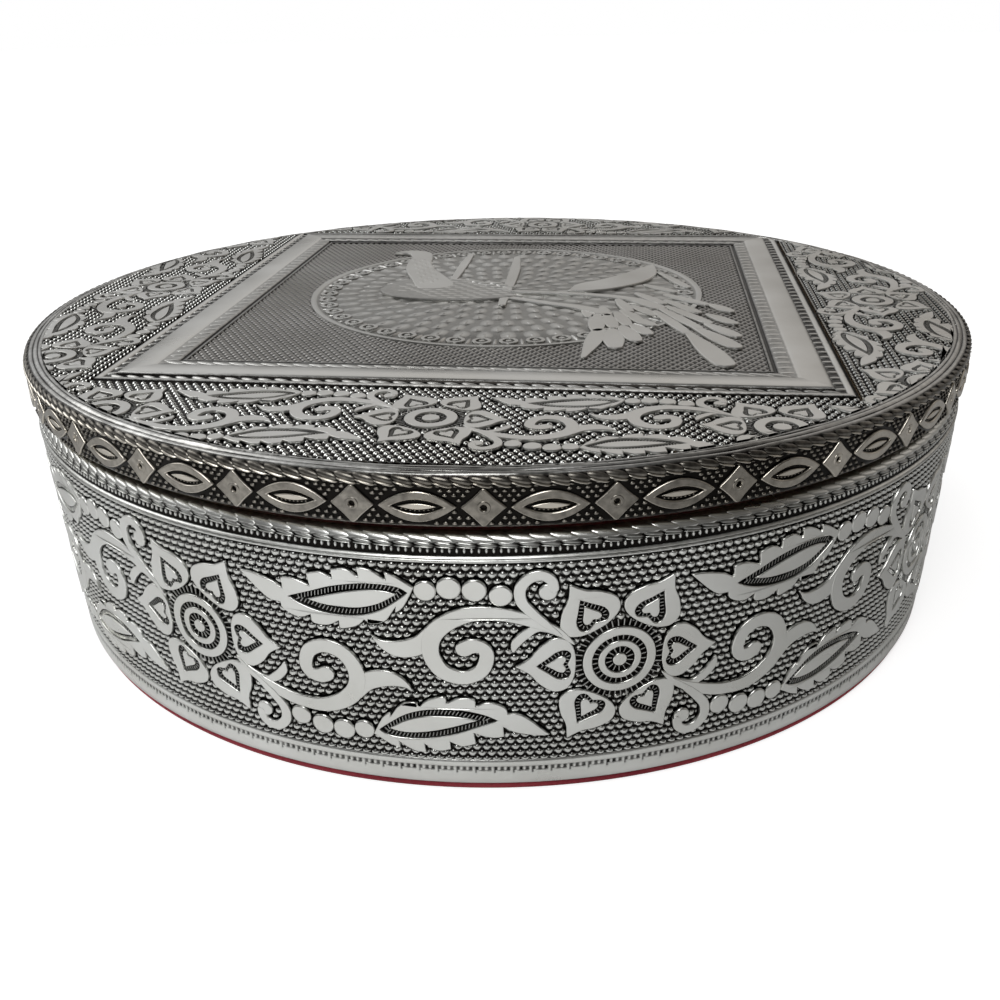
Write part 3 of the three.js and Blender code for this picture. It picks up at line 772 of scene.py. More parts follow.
TICK_LOW_Z, TAIL_LOW_Z, TICK_HIGH_Z = 3.85, 3.35, 4.52
TICK_DEPTH = 0.16
FOOT_ROWS = [
    (1.32, 0.15), (1.5, 0.33), (2.6, 0.37), (3.3, 0.35), (3.38, 0.35), (3.8, 0.35), (3.88, 0.35), (4.5, 0.35),
    (4.58, 0.35), (5.1, 0.37), (5.5, 0.3), (5.75, 0.05), (6.1, -0.5),
]
foot_columns = 3 * FOOT_TICKS
column, row_number = np.meshgrid(np.arange(foot_columns), np.arange(len(FOOT_ROWS)), indexing="ij")
foot_up, foot_rise = np.array(FOOT_ROWS)[row_number].transpose(2, 0, 1)
punched = (column % 3 > 0) & (foot_up > TICK_LOW_Z) & (foot_up < TICK_HIGH_Z)
tailed = (column % 9 == 4) & (foot_up > TAIL_LOW_Z) & (foot_up < TICK_HIGH_Z)
foot_polish = np.where(punched | tailed, 0.24, np.where(foot_rise < 0.1, 0.1, 0.9))
foot_flat = np.column_stack([
    (column * FULL_TURN * PLAN_RADIUS / foot_columns).ravel(), foot_up.ravel(),
    (foot_rise - TICK_DEPTH * (punched | tailed)).ravel(),
])
new_piece("wall_foot", on_wall(foot_flat), grid_faces(foot_columns, len(FOOT_ROWS), closed=True), wall_metal,
          "box", "side_sheet", polish=foot_polish.ravel(), crease=None)

SEAM_LAP = [
    (-1.1, -0.5, 0.1), (-1.0, 0.2, 0.6), (-0.6, 0.42, 0.9), (0.6, 0.5, 1), (0.95, 0.4, 0.9),
    (1.05, -0.5, 0.1),
]
seam_rows = np.linspace(5.9, 39.2, 36)
seam_places = np.array([(last_seam + along, up, rise) for up in seam_rows for along, rise, _ in SEAM_LAP])
seam_faces = grid_faces(len(seam_rows), len(SEAM_LAP), flipped=True)
new_piece("wall_seam", on_wall(seam_places), seam_faces, wall_metal, "box", "side_sheet",
          polish=polish_along(SEAM_LAP, len(seam_rows)), crease=50)


# The strip round the lid's edge: embossed with eyes and diamonds in turn on a black dotted
# ground, with a line of dots and a slanted rope at its top. Its bottom is folded under the
# board ring. It is a duller, warmer metal than the wall.

LID_LOW_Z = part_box("lid_side_sheet")[0][2] / MM
FRAME_OVER_LID = 0.7
LID_TOP_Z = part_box("lid_top_sheet")[1][2] / MM - FRAME_OVER_LID
LID_RADIUS = 88.5
DIAMONDS = 32
DIAMOND_TURN = -0.2208
DIAMOND_REACH, DIAMOND_HEIGHT = 2.95, 2.7
EYE_REACH, EYE_HEIGHT = 5.2, 2.2
EYE_CURVE = 1.9
BAND_Z = 47.9
EDGE_RISE = 0.42
EDGE_ROUND = 0.17
DOTS_ROUND = 466
DOT_ROWS = ((45.5, 0.0), (46.3, 0.5), (47.1, 0.0), (48.8, 0.5), (49.5, 0.0), (50.15, 0.5))
FINE_DOTS_ROUND = 480
EDGE_STRANDS = 219
EDGE_SILVER = (0.62, 0.585, 0.52)
edge_metal = patina_metal("rubbed white metal, lid edge", EDGE_SILVER, BLACK_PATINA, 0.30)

DIAMOND = [
    (0, 2.68), (0.34, 2.5), (1.5, 1.3), (2.72, 0.26), (2.95, 0), (2.72, -0.26),
    (1.5, -1.35), (0.4, -2.5), (0, -2.72), (-0.4, -2.5), (-1.5, -1.35), (-2.72, -0.26),
    (-2.95, 0), (-2.72, 0.26), (-1.5, 1.3), (-0.34, 2.5),
]


def eye(half_length, half_height, steps=22):
    across = np.linspace(-1, 1, steps)
    top = np.column_stack([across * half_length, (1 - np.abs(across) ** EYE_CURVE) * half_height])
    return np.concatenate([top, (top * [1, -1])[::-1][1:-1]])


def on_lid_edge(points):
    """Flat places (along, up, rise) in mm to places round the lid's edge in metres."""
    along, up, rise = np.asarray(points, dtype=float).T
    radius, turn = LID_RADIUS + rise, along / PLAN_RADIUS
    return np.column_stack([radius * np.sin(turn), -radius * np.cos(turn), up]) * MM


diamond_step = FULL_TURN * PLAN_RADIUS / DIAMONDS
first_diamond = DIAMOND_TURN * PLAN_RADIUS
diamond_parts = [
    plate([flowing(DIAMOND, steps=3), circle(0, 0, 0.42, 20)], rise=EDGE_RISE, edge=EDGE_ROUND),
    plate([circle(0, 0, 0.95, 28), circle(0, 0, 0.45, 20)], rise=0.5, edge=0.12),
    plate([circle(0, 0, 0.5, 20)], rise=0.02, edge=0.02),
]
eye_dots = [(x, -0.62 + 0.04 * x * x) for x in np.arange(-2.1, 2.2, 0.6)]
eye_parts = [
    plate([eye(EYE_REACH, EYE_HEIGHT), eye(3.55, 1.0)], rise=EDGE_RISE, edge=EDGE_ROUND),
    plate([eye(2.6, 0.42)], rise=0.34, edge=0.1),
    lobes(eye_dots, length=0.36, width=0.36, height=0.16, slant=0, rows=5),
]
edge_parts = []
for n in range(DIAMONDS):
    along = first_diamond + n * diamond_step
    edge_parts += placed(diamond_parts, 0, 1, (along, BAND_Z))
    edge_parts += placed(eye_parts, 0, 1, (along + diamond_step / 2, BAND_Z))
shape_places, shape_faces = joined(edge_parts)
turned = (shape_places[:, 0] / PLAN_RADIUS + math.pi) % FULL_TURN - math.pi
# Painted light: the tops of the eyes and diamonds are painted lighter towards the lid's left side, and more so
# towards its right, where they catch more light.
wear_and_painted_light = 0.38 + np.interp(turned, [-0.6, -0.3, 0.3, 0.6], [0.1, 0, 0, 0.26])
on_top = shape_places[:, 2] > EDGE_RISE - 0.015
shape_polish_and_light = np.where(on_top, wear_and_painted_light, polish_by_rise(shape_places[:, 2], 0.0, 0.3))
lid_edge_shapes = new_piece("lid_edge_shapes", on_lid_edge(shape_places), shape_faces, edge_metal, "lid",
                            "lid_side_sheet", polish=shape_polish_and_light)
lie_flush(lid_edge_shapes)

dot_stops = []
for up, shift in DOT_ROWS:
    for along, level in stops_round(DOTS_ROUND, up, shift):
        from_diamond = (along - first_diamond + diamond_step / 2) % diamond_step - diamond_step / 2
        from_eye = abs(abs(from_diamond) - diamond_step / 2)
        over = abs(level - BAND_Z)
        clear_of_diamond = abs(from_diamond) / DIAMOND_REACH + over / DIAMOND_HEIGHT > 1.2
        eye_top = EYE_HEIGHT * (1 - min(1, from_eye / (EYE_REACH + 0.1)) ** EYE_CURVE)
        if clear_of_diamond and (over > eye_top + 0.4 or from_eye > EYE_REACH + 0.4):
            dot_stops.append((along, level))
dot_places, dot_faces = joined([
    lobes(dot_stops, length=0.86, width=0.68, height=0.3, slant=0, rows=5),
    lobes(stops_round(FINE_DOTS_ROUND, 50.75), length=0.85, width=0.44, height=0.24, slant=-6, rows=5),
])
new_piece("lid_edge_dots", on_lid_edge(dot_places), dot_faces, edge_metal, "lid", "lid_side_sheet",
          polish=polish_by_rise(dot_places[:, 2], 0.06, 0.5), crease=None)

EDGE_STEPS = 360
EDGE_PROFILE = [
    (86.1, LID_LOW_Z + 0.5, 0.5), (86.1, LID_LOW_Z + 0.1, 0.6), (86.25, LID_LOW_Z, 0.7),
    (87.2, LID_LOW_Z, 0.7), (87.8, LID_LOW_Z + 0.12, 0.5), (88.2, LID_LOW_Z + 0.4, 0.3),
    (88.45, LID_LOW_Z + 0.8, 0.1), (88.5, LID_LOW_Z + 1.2, 0.0), (88.48, BAND_Z, 0.0), (88.5, 50.4, 0.0),
    (88.55, 51.0, 0.0), (88.5, 51.5, 0.1), (88.2, 52.0, 0.2), (87.9, 52.2, 0.2),
]
edge_places, edge_faces = turned_skin(EDGE_PROFILE, EDGE_STEPS)
new_piece("lid_edge_strip", edge_places, edge_faces, edge_metal, "lid", "lid_side_sheet",
          polish=polish_along(EDGE_PROFILE, EDGE_STEPS))

on_edge_roll = on_roll(87.75, 51.25, 0.95)
strands = lobes(
    stops_round(EDGE_STRANDS, 0.42), length=3.35, width=1.4, height=0.26, slant=-17, rows=11, columns=7)
strand_edges = lobes(stops_round(EDGE_STRANDS, -0.22, 0.06), length=2.9, width=0.34, height=0.4, slant=-14)
strand_places, strand_faces = joined([strands, strand_edges])
# Painted shade: the strands keep only 0.3 of their polish, darker where they mirror the dark room, while their
# lower edges stay bright.
strand_polish_and_shade = np.concatenate([
    0.3 * polish_by_rise(strands[0][:, 2], -0.05, 0.1), polish_by_rise(strand_edges[0][:, 2], 0.0, 0.15),
])
new_piece("lid_edge_rope", on_edge_roll(strand_places), strand_faces, edge_metal, "lid", "lid_side_sheet",
          polish=strand_polish_and_shade, crease=None)


# The sheet on top of the lid. A smooth rolled edge goes round it. In the four segments outside
# the square frame lies the wall's flower pattern, made smaller, on the same domed ground.

FRAME_TURN = -7.3
FRAME_MIDDLE = (1.4, 3.5)
LINE_OUTSIDE = 60.6
LINE_INSIDE = 48.6
FRONT_DRAWN_IN = 1.35
TOP_EDGE_RADIUS = 85.7
STRIP_SCALE = 0.757
STRIP_REPEAT = 49.6
STRIP_REPEATS = range(-2, 3)
STRIP_OUT = 72.6
STRIP_START = -2.0
STRIP_MOAT = 0.34
STRIP_FLATTER = 0.85
STRIP_DOMES = (90, 27)
STRIP_DOMES_START = (-64.0, -89.0)
TOP_DOME_RISE = 0.36
TOP_DOME_DEPTH = 0.56
TOP_DOME_RINGS = [(0.3, -0.13), (0.51, -0.62)]
LID_CORE = [(0, 1.72), (3.04, 5.15)]
LID_CORE_CUTS = [(2.4, 16, 0.8)]
TOP_SILVER = (0.74, 0.74, 0.72)
top_metal = patina_metal("rubbed white metal, lid top", TOP_SILVER, BLACK_PATINA, 0.30)


def on_lid_top(points):
    places = np.array(points, dtype=float)
    places[:, 2] += LID_TOP_Z
    return places * MM


def in_frame(points, quarter=0):
    """Places of the square frame's own plan, turned by quarters, on the lid's plan."""
    return turned_by(points, quarter * 90 + FRAME_TURN, 1, FRAME_MIDDLE)


def on_frame(points, quarter=0):
    """As in_frame, for the frame and its field, whose front is drawn in a little: the pressing
    isn't quite square."""
    plan = turned_by(points, quarter * 90)
    plan[:, 1] += FRONT_DRAWN_IN * np.clip(-plan[:, 1] / LINE_INSIDE, 0, 1)
    return in_frame(plan)


def inside_rolled_edge(places):
    radius = np.hypot(places[:, 0], places[:, 1])
    past = radius > TOP_EDGE_RADIUS
    places[:, :2] *= np.minimum(1, TOP_EDGE_RADIUS / np.maximum(radius, 1e-6))[:, None]
    return places, past


lid_flower = flower_parts(LID_CORE, LID_CORE_CUTS)
strip_plates, strip_cuts, strip_outlines = [], [], []
for repeat in STRIP_REPEATS:
    centre = (STRIP_START + STRIP_REPEAT * repeat, -STRIP_OUT)
    some_plates, some_cuts, some_outlines = flower_with_sprays(lid_flower, centre, STRIP_SCALE)
    strip_plates += some_plates
    strip_cuts += some_cuts
    strip_outlines += some_outlines


def turned_strip(parts, quarter):
    """The strip's parts beside one side of the frame, cut off at the rolled edge."""
    return held_within([(in_frame(places, quarter), faces) for places, faces in parts], inside_rolled_edge)


strip_tree = outline_tree(strip_outlines, 0.2)
top_plates, top_cuts = [], []
for quarter in range(4):
    top_plates += turned_strip(strip_plates, quarter)
    top_cuts += turned_strip(strip_cuts, quarter)
    strip_edge = -LINE_OUTSIDE + (FRONT_DRAWN_IN if quarter == 0 else 0)

    def in_segment(plan):
        reach = np.hypot(*in_frame(plan, quarter).T)
        return (plan[:, 1] < strip_edge) & (reach < TOP_EDGE_RADIUS + 0.3)

    flat, fall, lean, triangles = domed_ground(
        *STRIP_DOMES, DOME_PITCH, DOME_ROW, TOP_DOME_RINGS, in_segment, STRIP_DOMES_START)
    fall = sink_by_outlines(flat, fall, strip_outlines, strip_tree, STRIP_MOAT)
    ground = np.column_stack([in_frame(flat, quarter), TOP_DOME_RISE + fall * TOP_DOME_DEPTH])
    new_piece(f"lid_ground_{quarter + 1}", on_lid_top(ground), triangles, dot_metal, "lid", "lid_top_sheet",
              polish=np.clip(1.4 + fall * 2.8, 0, 1), crease=None)

plate_places, plate_faces = joined(top_plates)
new_piece("lid_flowers", on_lid_top(plate_places * [1, 1, STRIP_FLATTER]), plate_faces, top_metal, "lid",
          "lid_top_sheet", polish=polish_by_rise(plate_places[:, 2]))
cut_places, cut_faces = joined(top_cuts)
new_piece("lid_veins", on_lid_top(cut_places * [1, 1, STRIP_FLATTER]), cut_faces, top_metal, "lid",
          "lid_top_sheet", polish=polish_by_rise(cut_places[:, 2], 0.12, 0.6))

ROLLED_EDGE = [
    (88.1, 52.0, 0.2), (88.0, 52.22, 0.35), (87.75, 52.36, 0.55), (87.45, 52.36, 0.5), (87.28, 52.24, 0.05),
    (87.12, 52.38, 0.45), (86.85, 52.54, 0.6), (86.6, 52.58, 0.55), (86.42, 52.48, 0.05), (86.25, 52.56, 0.5),
    (86.0, 52.58, 0.6), (85.8, 52.5, 0.4), (85.6, 52.1, 0.0),
]
RIPPLE_RISE = 0.03
roll_places, roll_faces = turned_skin(ROLLED_EDGE, EDGE_STEPS)
turn = np.repeat(np.arange(EDGE_STEPS) * FULL_TURN / EDGE_STEPS, len(ROLLED_EDGE))
line = np.tile(np.arange(len(ROLLED_EDGE)), EDGE_STEPS)
roll_places[:, 2] += RIPPLE_RISE * MM * (np.sin(turn * 23 + line * 0.9) + np.sin(turn * 41 - line * 1.3))
new_piece("lid_rolled_edge", roll_places, roll_faces, top_metal, "lid", "lid_top_sheet",
          polish=polish_along(ROLLED_EDGE, EDGE_STEPS))


# The square frame of the lid: a smooth raised fillet between two ropes, with a thin line
# outside and inside them. It is pressed in the lid's sheet, a little turned on it.

FRAME_PROFILE = [
    (48.5, -0.3, 0.0), (48.7, 0.25, 0.4), (48.95, 0.3, 0.5), (49.2, 0.15, 0.1), (49.35, 0.05, 0.0),
    (49.6, 0.05, 0.0), (49.75, 0.3, 0.45), (49.95, 0.4, 0.5), (51.0, 0.42, 0.46), (52.3, 0.46, 0.5),
    (52.6, 0.6, 0.95), (53.0, 0.68, 1), (54.7, 0.7, 1), (56.7, 0.68, 1), (57.1, 0.6, 0.6), (57.3, 0.4, 0.12),
    (57.45, 0.16, 0.14), (58.1, 0.14, 0.16), (58.8, 0.14, 0.14), (59.0, 0.38, 0.8), (59.4, 0.44, 1),
    (59.85, 0.42, 0.4), (60.0, 0.15, 0.0), (60.65, -0.1, 0.0),
]
FRAME_ROPE_PITCH = 2.75
FRAME_STEPS = 24
# Painted shade: the frame's polish by quarter (front, right, back, left), darker at the right and the back,
# where the frame mirrors less light.
FRAME_SHADE_BY_QUARTER = (1, 0.9, 0.6, 1)
OUTER_ROPE, INNER_ROPE = (58.15, 0.26, 0.12), (51.1, 0.17, 0.36)
LONG_STRANDS = (-22, (3.1, 1.1), (4.5, 1.3))
SHORT_STRANDS = (-78, (2.2, 1.5), (2.5, 1.7))

frame_parts, rope_parts = [], []
for quarter in range(4):
    side = np.array([
        (away * t, -away, rise) for t in np.linspace(-1, 1, FRAME_STEPS + 1) for away, rise, _ in FRAME_PROFILE
    ])
    faces = grid_faces(FRAME_STEPS + 1, len(FRAME_PROFILE), flipped=True)
    frame_parts.append((inside_rolled_edge(on_frame(side, quarter))[0], faces))
    slant, *sizes = LONG_STRANDS if quarter % 2 == 0 else SHORT_STRANDS
    for (away, height, base), (length, width) in zip((OUTER_ROPE, INNER_ROPE), sizes):
        run = int(2 * away / FRAME_ROPE_PITCH)
        along = (np.arange(run) - (run - 1) / 2) * 2 * away / run
        stops = np.column_stack([along, np.full(run, -away)])
        strand_places, strand_faces = lobes(stops, length, width, height, slant, base, columns=7)
        rope_parts.append((on_frame(strand_places, quarter), strand_faces))

frame_places, frame_faces = joined(frame_parts)
# The frame's polish, with its painted shade by quarter.
frame_polish_and_shade = polish_along(FRAME_PROFILE, (4, FRAME_STEPS + 1)) * np.array(FRAME_SHADE_BY_QUARTER)[:, None]
new_piece("lid_frame", on_lid_top(frame_places), frame_faces, top_metal, "lid", "lid_top_sheet",
          polish=frame_polish_and_shade.ravel(), crease=50)
rope_places, rope_faces = joined(rope_parts)
new_piece("lid_frame_ropes", on_lid_top(rope_places), rope_faces, top_metal, "lid", "lid_top_sheet",
          polish=polish_by_rise(rope_places[:, 2], 0.05, 0.5), crease=None)


# The field inside the frame: a domed ground, a round medallion with a lace edge and rings of
# petals, and over it a long-tailed bird in low relief, as these boxes often carry. The bird
# is drawn afresh in the photograph's layout.

MEDALLION_MIDDLE = (2.0, 6.4)
MEDALLION_RADIUS = 40.0
FIELD_SILVER = (0.50, 0.49, 0.475)
MEDALLION_SILVER = (0.62, 0.62, 0.605)
BIRD_SILVER = (0.72, 0.72, 0.70)
MEDALLION_DARK = (0.33, 0.328, 0.316)
field_metal = patina_metal("rubbed white metal, lid field", FIELD_SILVER, BLACK_PATINA, 0.34)
medallion_metal = patina_metal("rubbed white metal, medallion", MEDALLION_SILVER, MEDALLION_DARK, 0.36)
bird_metal = patina_metal("rubbed white metal, bird", BIRD_SILVER, MEDALLION_DARK, 0.34)
FIELD_DOMES = (71, 90)
FIELD_DOMES_START = (-51.0, -50.0)
FIELD_DOME_RINGS = [(0.28, -0.12), (0.51, -0.6)]
FIELD_RISE = 0.15
FIELD_FLATTER = 0.48
LACE_RINGS = 48
LACE_RADIUS = 36.4
PETAL_LONGER, PETAL_WIDER = 1.12, 1.55
VEIN_LENGTH, VEIN_WIDTH, VEIN_FURTHER_OUT = 0.42, 0.4, 0.6

PETAL_RINGS = [(32.4, 48, 4.6, 2.6), (28.4, 48, 4.2, 2.3), (24.4, 40, 4.2, 2.4), (20.4, 36, 4.0, 2.2),
               (16.4, 30, 4.0, 2.2), (12.4, 24, 3.8, 2.1), (8.4, 16, 3.6, 2.1), (4.4, 9, 3.4, 1.9)]


def in_field(plan):
    from_medallion = np.hypot(*(on_frame(plan) - np.array(MEDALLION_MIDDLE)).T)
    return (np.abs(plan).max(1) < LINE_INSIDE) & (from_medallion > MEDALLION_RADIUS - 0.3)


flat, fall, lean, triangles = domed_ground(
    *FIELD_DOMES, DOME_PITCH, DOME_ROW, FIELD_DOME_RINGS, in_field, FIELD_DOMES_START)
field = np.column_stack([on_frame(flat), FIELD_RISE + fall * TOP_DOME_DEPTH * FIELD_FLATTER])
new_piece("lid_field", on_lid_top(field), triangles, field_metal, "lid", "lid_top_sheet",
          polish=np.clip(1.4 + fall * 1.4, 0, 1), crease=None)

DISC_STEPS = 288
DISC_PROFILE = [
    (0.02, 0.1, 0.2), (10, 0.1, 0.2), (20, 0.1, 0.2), (30, 0.1, 0.2), (38.6, 0.1, 0.2), (38.85, 0.3, 0.9),
    (39.3, 0.33, 0.9), (39.8, 0.32, 0.7), (39.86, 0.15, 0.0), (39.95, -0.35, 0.0),
]
disc_places, disc_faces = turned_skin(DISC_PROFILE, DISC_STEPS, cap=True)
disc_places = disc_places + np.array([*MEDALLION_MIDDLE, LID_TOP_Z]) * MM
new_piece("medallion_ground", disc_places, disc_faces, medallion_metal, "lid", "lid_top_sheet",
          polish=polish_along(DISC_PROFILE, DISC_STEPS))


def ring_stops(radius, count, shift=0.0):
    turns = (np.arange(count) + shift) * FULL_TURN / count
    return np.column_stack([radius * np.cos(turns), radius * np.sin(turns)]), np.degrees(turns)


lace_parts = []
ring_part = plate([circle(0, 0, 1.75, 28), circle(0, 0, 1.05, 20)], rise=0.38, edge=0.1, sink=0.0)
dot_part = plate([circle(0, 0, 0.55, 16)], rise=0.36, edge=0.12, sink=0.0)
for stop, angle in zip(*ring_stops(LACE_RADIUS, LACE_RINGS)):
    lace_parts += placed([ring_part, dot_part], angle, 1, stop)
between, between_degrees = ring_stops(LACE_RADIUS + 0.2, LACE_RINGS, 0.5)
lace_parts.append(lobes(between, length=3.6, width=0.95, height=0.3, slant=between_degrees, base=0.08))
for number, (radius, petals, length, width) in enumerate(PETAL_RINGS):
    stops, degrees = ring_stops(radius, petals, 0.5 * (number % 2))
    lace_parts.append(lobes(
        stops, length * PETAL_LONGER, width * PETAL_WIDER, height=0.24, slant=degrees, base=0.06))
    vein_stops = stops * (1 + VEIN_FURTHER_OUT / radius)
    lace_parts.append(lobes(
        vein_stops, length * VEIN_LENGTH, width * VEIN_WIDTH, height=0.12, slant=degrees, base=0.24, rows=5))

lace_places, lace_faces = joined(lace_parts)
lace_places[:, :2] += MEDALLION_MIDDLE
new_piece("medallion_lace", on_lid_top(lace_places), lace_faces, medallion_metal, "lid", "lid_top_sheet",
          polish=polish_by_rise(lace_places[:, 2], 0.1, 0.34))

BIRD_BODY = [
    (-24, 8), (-20, 15), (-14, 17), (-7, 14), (-1, 8), (4, 1), (0, -1.5), (-6, -2), (-14, -1), (-21, 2),
]
BIRD_NECK = [
    (-13, 11, 8.5), (-14.5, 17, 7.6), (-16.5, 24, 6.6), (-17.3, 31, 5.6), (-17, 37, 4.9), (-17.6, 41, 5.2),
    (-20.2, 43.2, 3.4), (-23.6, 42.6, 0.4),
]
BIRD_WING = [
    (14.5, 3.5, 1), (19, 3.2), (25, 5.4), (31, 10.5), (34.6, 17.5), (35.2, 26, 1), (31.5, 22.5),
    (27.5, 17.6), (22, 12.4), (17, 9.0),
]
TAIL_STEMS = [
    [(-2, 3, 1.8), (5, -2, 1.8), (11, -6, 2.0), (16, -9, 2.6), (20, -13, 3.2)],
    [(0, 5, 1.6), (10, 3, 1.6), (20, 0, 2.0), (27, -4, 2.6), (31, -10, 3.2)],
    [(1, -6, 1.6), (2, 4, 2.0), (3.2, 14, 2.3), (4.3, 25, 2.4), (5, 36, 1.4)],
    [(-9.5, 12, 1.2), (-8.2, 22, 1.8), (-7, 31, 2.0), (-5.6, 40, 1.2)],
]
FEATHERS = [
    (18.4, -25.4, 14.3, -40.6, 3.0, 0.9), (20.7, -25.4, 20.2, -34.8, 2.4, 2.8),
    (22.8, -23.4, 24.2, -31.3, 2.0, 2.5), (24.9, -22.6, 26.8, -27.6, 1.8, 2.2),
    (18.7, -15.0, 18.0, -24.6, 2.0, 2.4), (20.8, -15.0, 21.2, -23.0, 1.7, 2.0),
    (22.8, -13.8, 23.9, -21.8, 1.6, 2.0), (25.4, -17.6, 28.3, -22.2, 1.6, 2.0),
    (17.2, -9.6, 17.4, -15.4, 1.5, 1.8), (20.4, -9.4, 20.9, -14.8, 1.4, 1.7),
    (24.0, -12.0, 26.4, -18.2, 1.4, 1.8), (24.0, -4.0, 25.3, -12.2, 1.4, 1.9),
    (26.4, -8.6, 29.8, -15.4, 1.4, 1.8), (34.0, -27.5, 37.0, -45.4, 1.4, 3.8),
    (35.8, -24.5, 40.5, -36.2, 1.4, 2.9), (38.3, -22.5, 42.0, -30.0, 1.4, 2.3),
    (39.8, -15.8, 43.2, -21.8, 1.4, 2.1), (41.6, -8.8, 44.2, -13.6, 1.4, 2.0),
    (30.2, -13.0, 33.8, -27.6, 1.3, 1.8), (31.4, -11.0, 36.3, -24.8, 1.3, 1.8),
    (33.0, -9.4, 38.8, -21.2, 1.3, 1.8), (33.4, -5.0, 38.0, -14.0, 1.3, 1.8),
    (34.0, -0.6, 40.4, -8.4, 1.3, 1.9), (35.4, 18.0, 39.2, 5.4, 1.0, 1.6), (31.0, 8.0, 36.0, 2.0, 1.2, 1.7),
    (28.4, 1.0, 32.4, -7.0, 1.3, 1.8),
]

FEATHER_EDGE = 0.2
FEATHER_SWELL = 0.5
BODY_PATINA = 0.35
bird_parts = [
    plate([flowing(BIRD_BODY)], rise=0.7, edge=0.25, sink=0.0),
    plate([ribbon(BIRD_NECK)], rise=0.76, edge=0.28, sink=0.0),
    plate([flowing(BIRD_WING)], rise=0.72, edge=0.25, sink=0.0),
]
for number, stem in enumerate(TAIL_STEMS):
    bird_parts.append(plate([ribbon(stem)], rise=0.6 + 0.02 * number, edge=FEATHER_EDGE, sink=0.0))
for number, (root_x, root_y, tip_x, tip_y, root_width, tip_width) in enumerate(FEATHERS):
    feather = [
        (root_x + (tip_x - root_x) * t, root_y + (tip_y - root_y) * t,
         (root_width + (tip_width - root_width) * t) * (1 + FEATHER_SWELL * math.sin(math.pi * t)))
        for t in np.linspace(0, 1, 7)
    ]
    bird_parts.append(plate([ribbon(feather)], rise=0.52 + 0.03 * (number % 4), edge=FEATHER_EDGE, sink=0.1))
body_feathers = [
    (x + 1.3 * (row % 2), y)
    for row, y in enumerate(np.arange(-0.6, 16.5, 1.7)) for x in np.arange(-22, 3, 2.6)
    if ((x + 10.2 - 0.25 * y) / 12.5) ** 2 + ((y - 7.4 + 0.28 * (x + 10)) / 8.0) ** 2 < 1
]
bird_parts.append(lobes(body_feathers, length=3.0, width=1.7, height=0.2, slant=-24, base=0.56, rows=7))
neck_feathers = [
    (x + 1.1 * (row % 2), y)
    for row, y in enumerate(np.arange(13, 36, 2.1)) for x in -0.14 * (y - 11) - 14.4 + np.array([-1.1, 1.1])
]
bird_parts.append(lobes(neck_feathers, length=2.6, width=1.7, height=0.14, slant=100, base=0.68, rows=7))
bird_places, bird_faces = joined(bird_parts)
bird_polish = polish_by_rise(bird_places[:, 2], 0.1, 0.6)
bird_polish[:len(bird_parts[0][0])] *= BODY_PATINA
new_piece("lid_bird", on_lid_top(bird_places), bird_faces, bird_metal, "lid", "lid_top_sheet",
          polish=bird_polish)


# The velvet: deep red pile cloth. A felt-backed disc lies under the base, a strip is folded
# over the collar and down the well, and discs and a strip line the well's floor and the lid.

VELVET_SHEEN = (1.0, 0.35, 0.38, 1)


def pile_cloth(name, deep, lit):
    material, tree, shader = new_material(name)
    for socket, value in (
        ("Roughness", 0.92), ("Specular IOR Level", 0.2), ("Sheen Weight", 0.55), ("Sheen Roughness", 0.4),
        ("Sheen Tint", VELVET_SHEEN),
    ):
        shader.inputs[socket].default_value = value
    place = shader_node(tree, "TexCoord").outputs["Object"]
    crush = noise(tree, place, 38.0, 5.0)
    pile = noise(tree, place, 1700.0, 2.0)
    tone = shader_node(tree, "Math", {1: 0.4}, {0: pile, 2: crush}, operation="MULTIPLY_ADD").outputs[0]
    feed(tree, shader, {
        "Base Color": colour_ramp(tree, tone, 0.5, deep, 0.9, lit),
        "Normal": bump(tree, pile, 0.5, 0.0003),
    })
    return material


VELVET_STEPS = 300
VELVET_WAVES = 7
velvet_rng = np.random.default_rng(7)
velvet = pile_cloth("red velvet", (0.13, 0.004, 0.010), (0.34, 0.012, 0.028))
# The velvet under the base is painted lighter than the rest: painted light, since little lamp light reaches it
# there.
base_cloth = pile_cloth("red velvet, base", (0.30, 0.035, 0.050), (0.52, 0.075, 0.095))


def soft_profile(corners, spacing=2.0):
    """A profile through corner places, with places in between at about even spacing."""
    points = []
    for (r0, z0), (r1, z1) in zip(corners, corners[1:]):
        pieces = max(1, int(math.hypot(r1 - r0, z1 - z0) / spacing))
        points += [(r0 + (r1 - r0) * n / pieces, z0 + (z1 - z0) * n / pieces) for n in range(pieces)]
    return points + [corners[-1]]


def velvet_skin(name, corners, body, node, material, ruffle, cap=False):
    """A turned velvet piece with soft uneven waves, so that it never looks machined."""
    places, faces = turned_skin(soft_profile(corners), VELVET_STEPS, cap)
    turn = np.arctan2(places[:, 0], -places[:, 1])
    reach = np.hypot(places[:, 0], places[:, 1]) / MM
    wave = np.zeros(len(places))
    for _ in range(VELVET_WAVES):
        round_count, fall_count = velvet_rng.integers(3, 26), velvet_rng.uniform(0.05, 0.5)
        start = velvet_rng.uniform(0, FULL_TURN)
        wave += np.sin(turn * round_count + start + (reach + places[:, 2] / MM) * fall_count)
    wave *= ruffle * MM / VELVET_WAVES
    outward = np.column_stack([np.sin(turn), -np.cos(turn), np.ones(len(turn))]) * 0.7
    places = places + outward * wave[:, None]
    return new_piece(name, places, faces, material, body, node, crease=None)


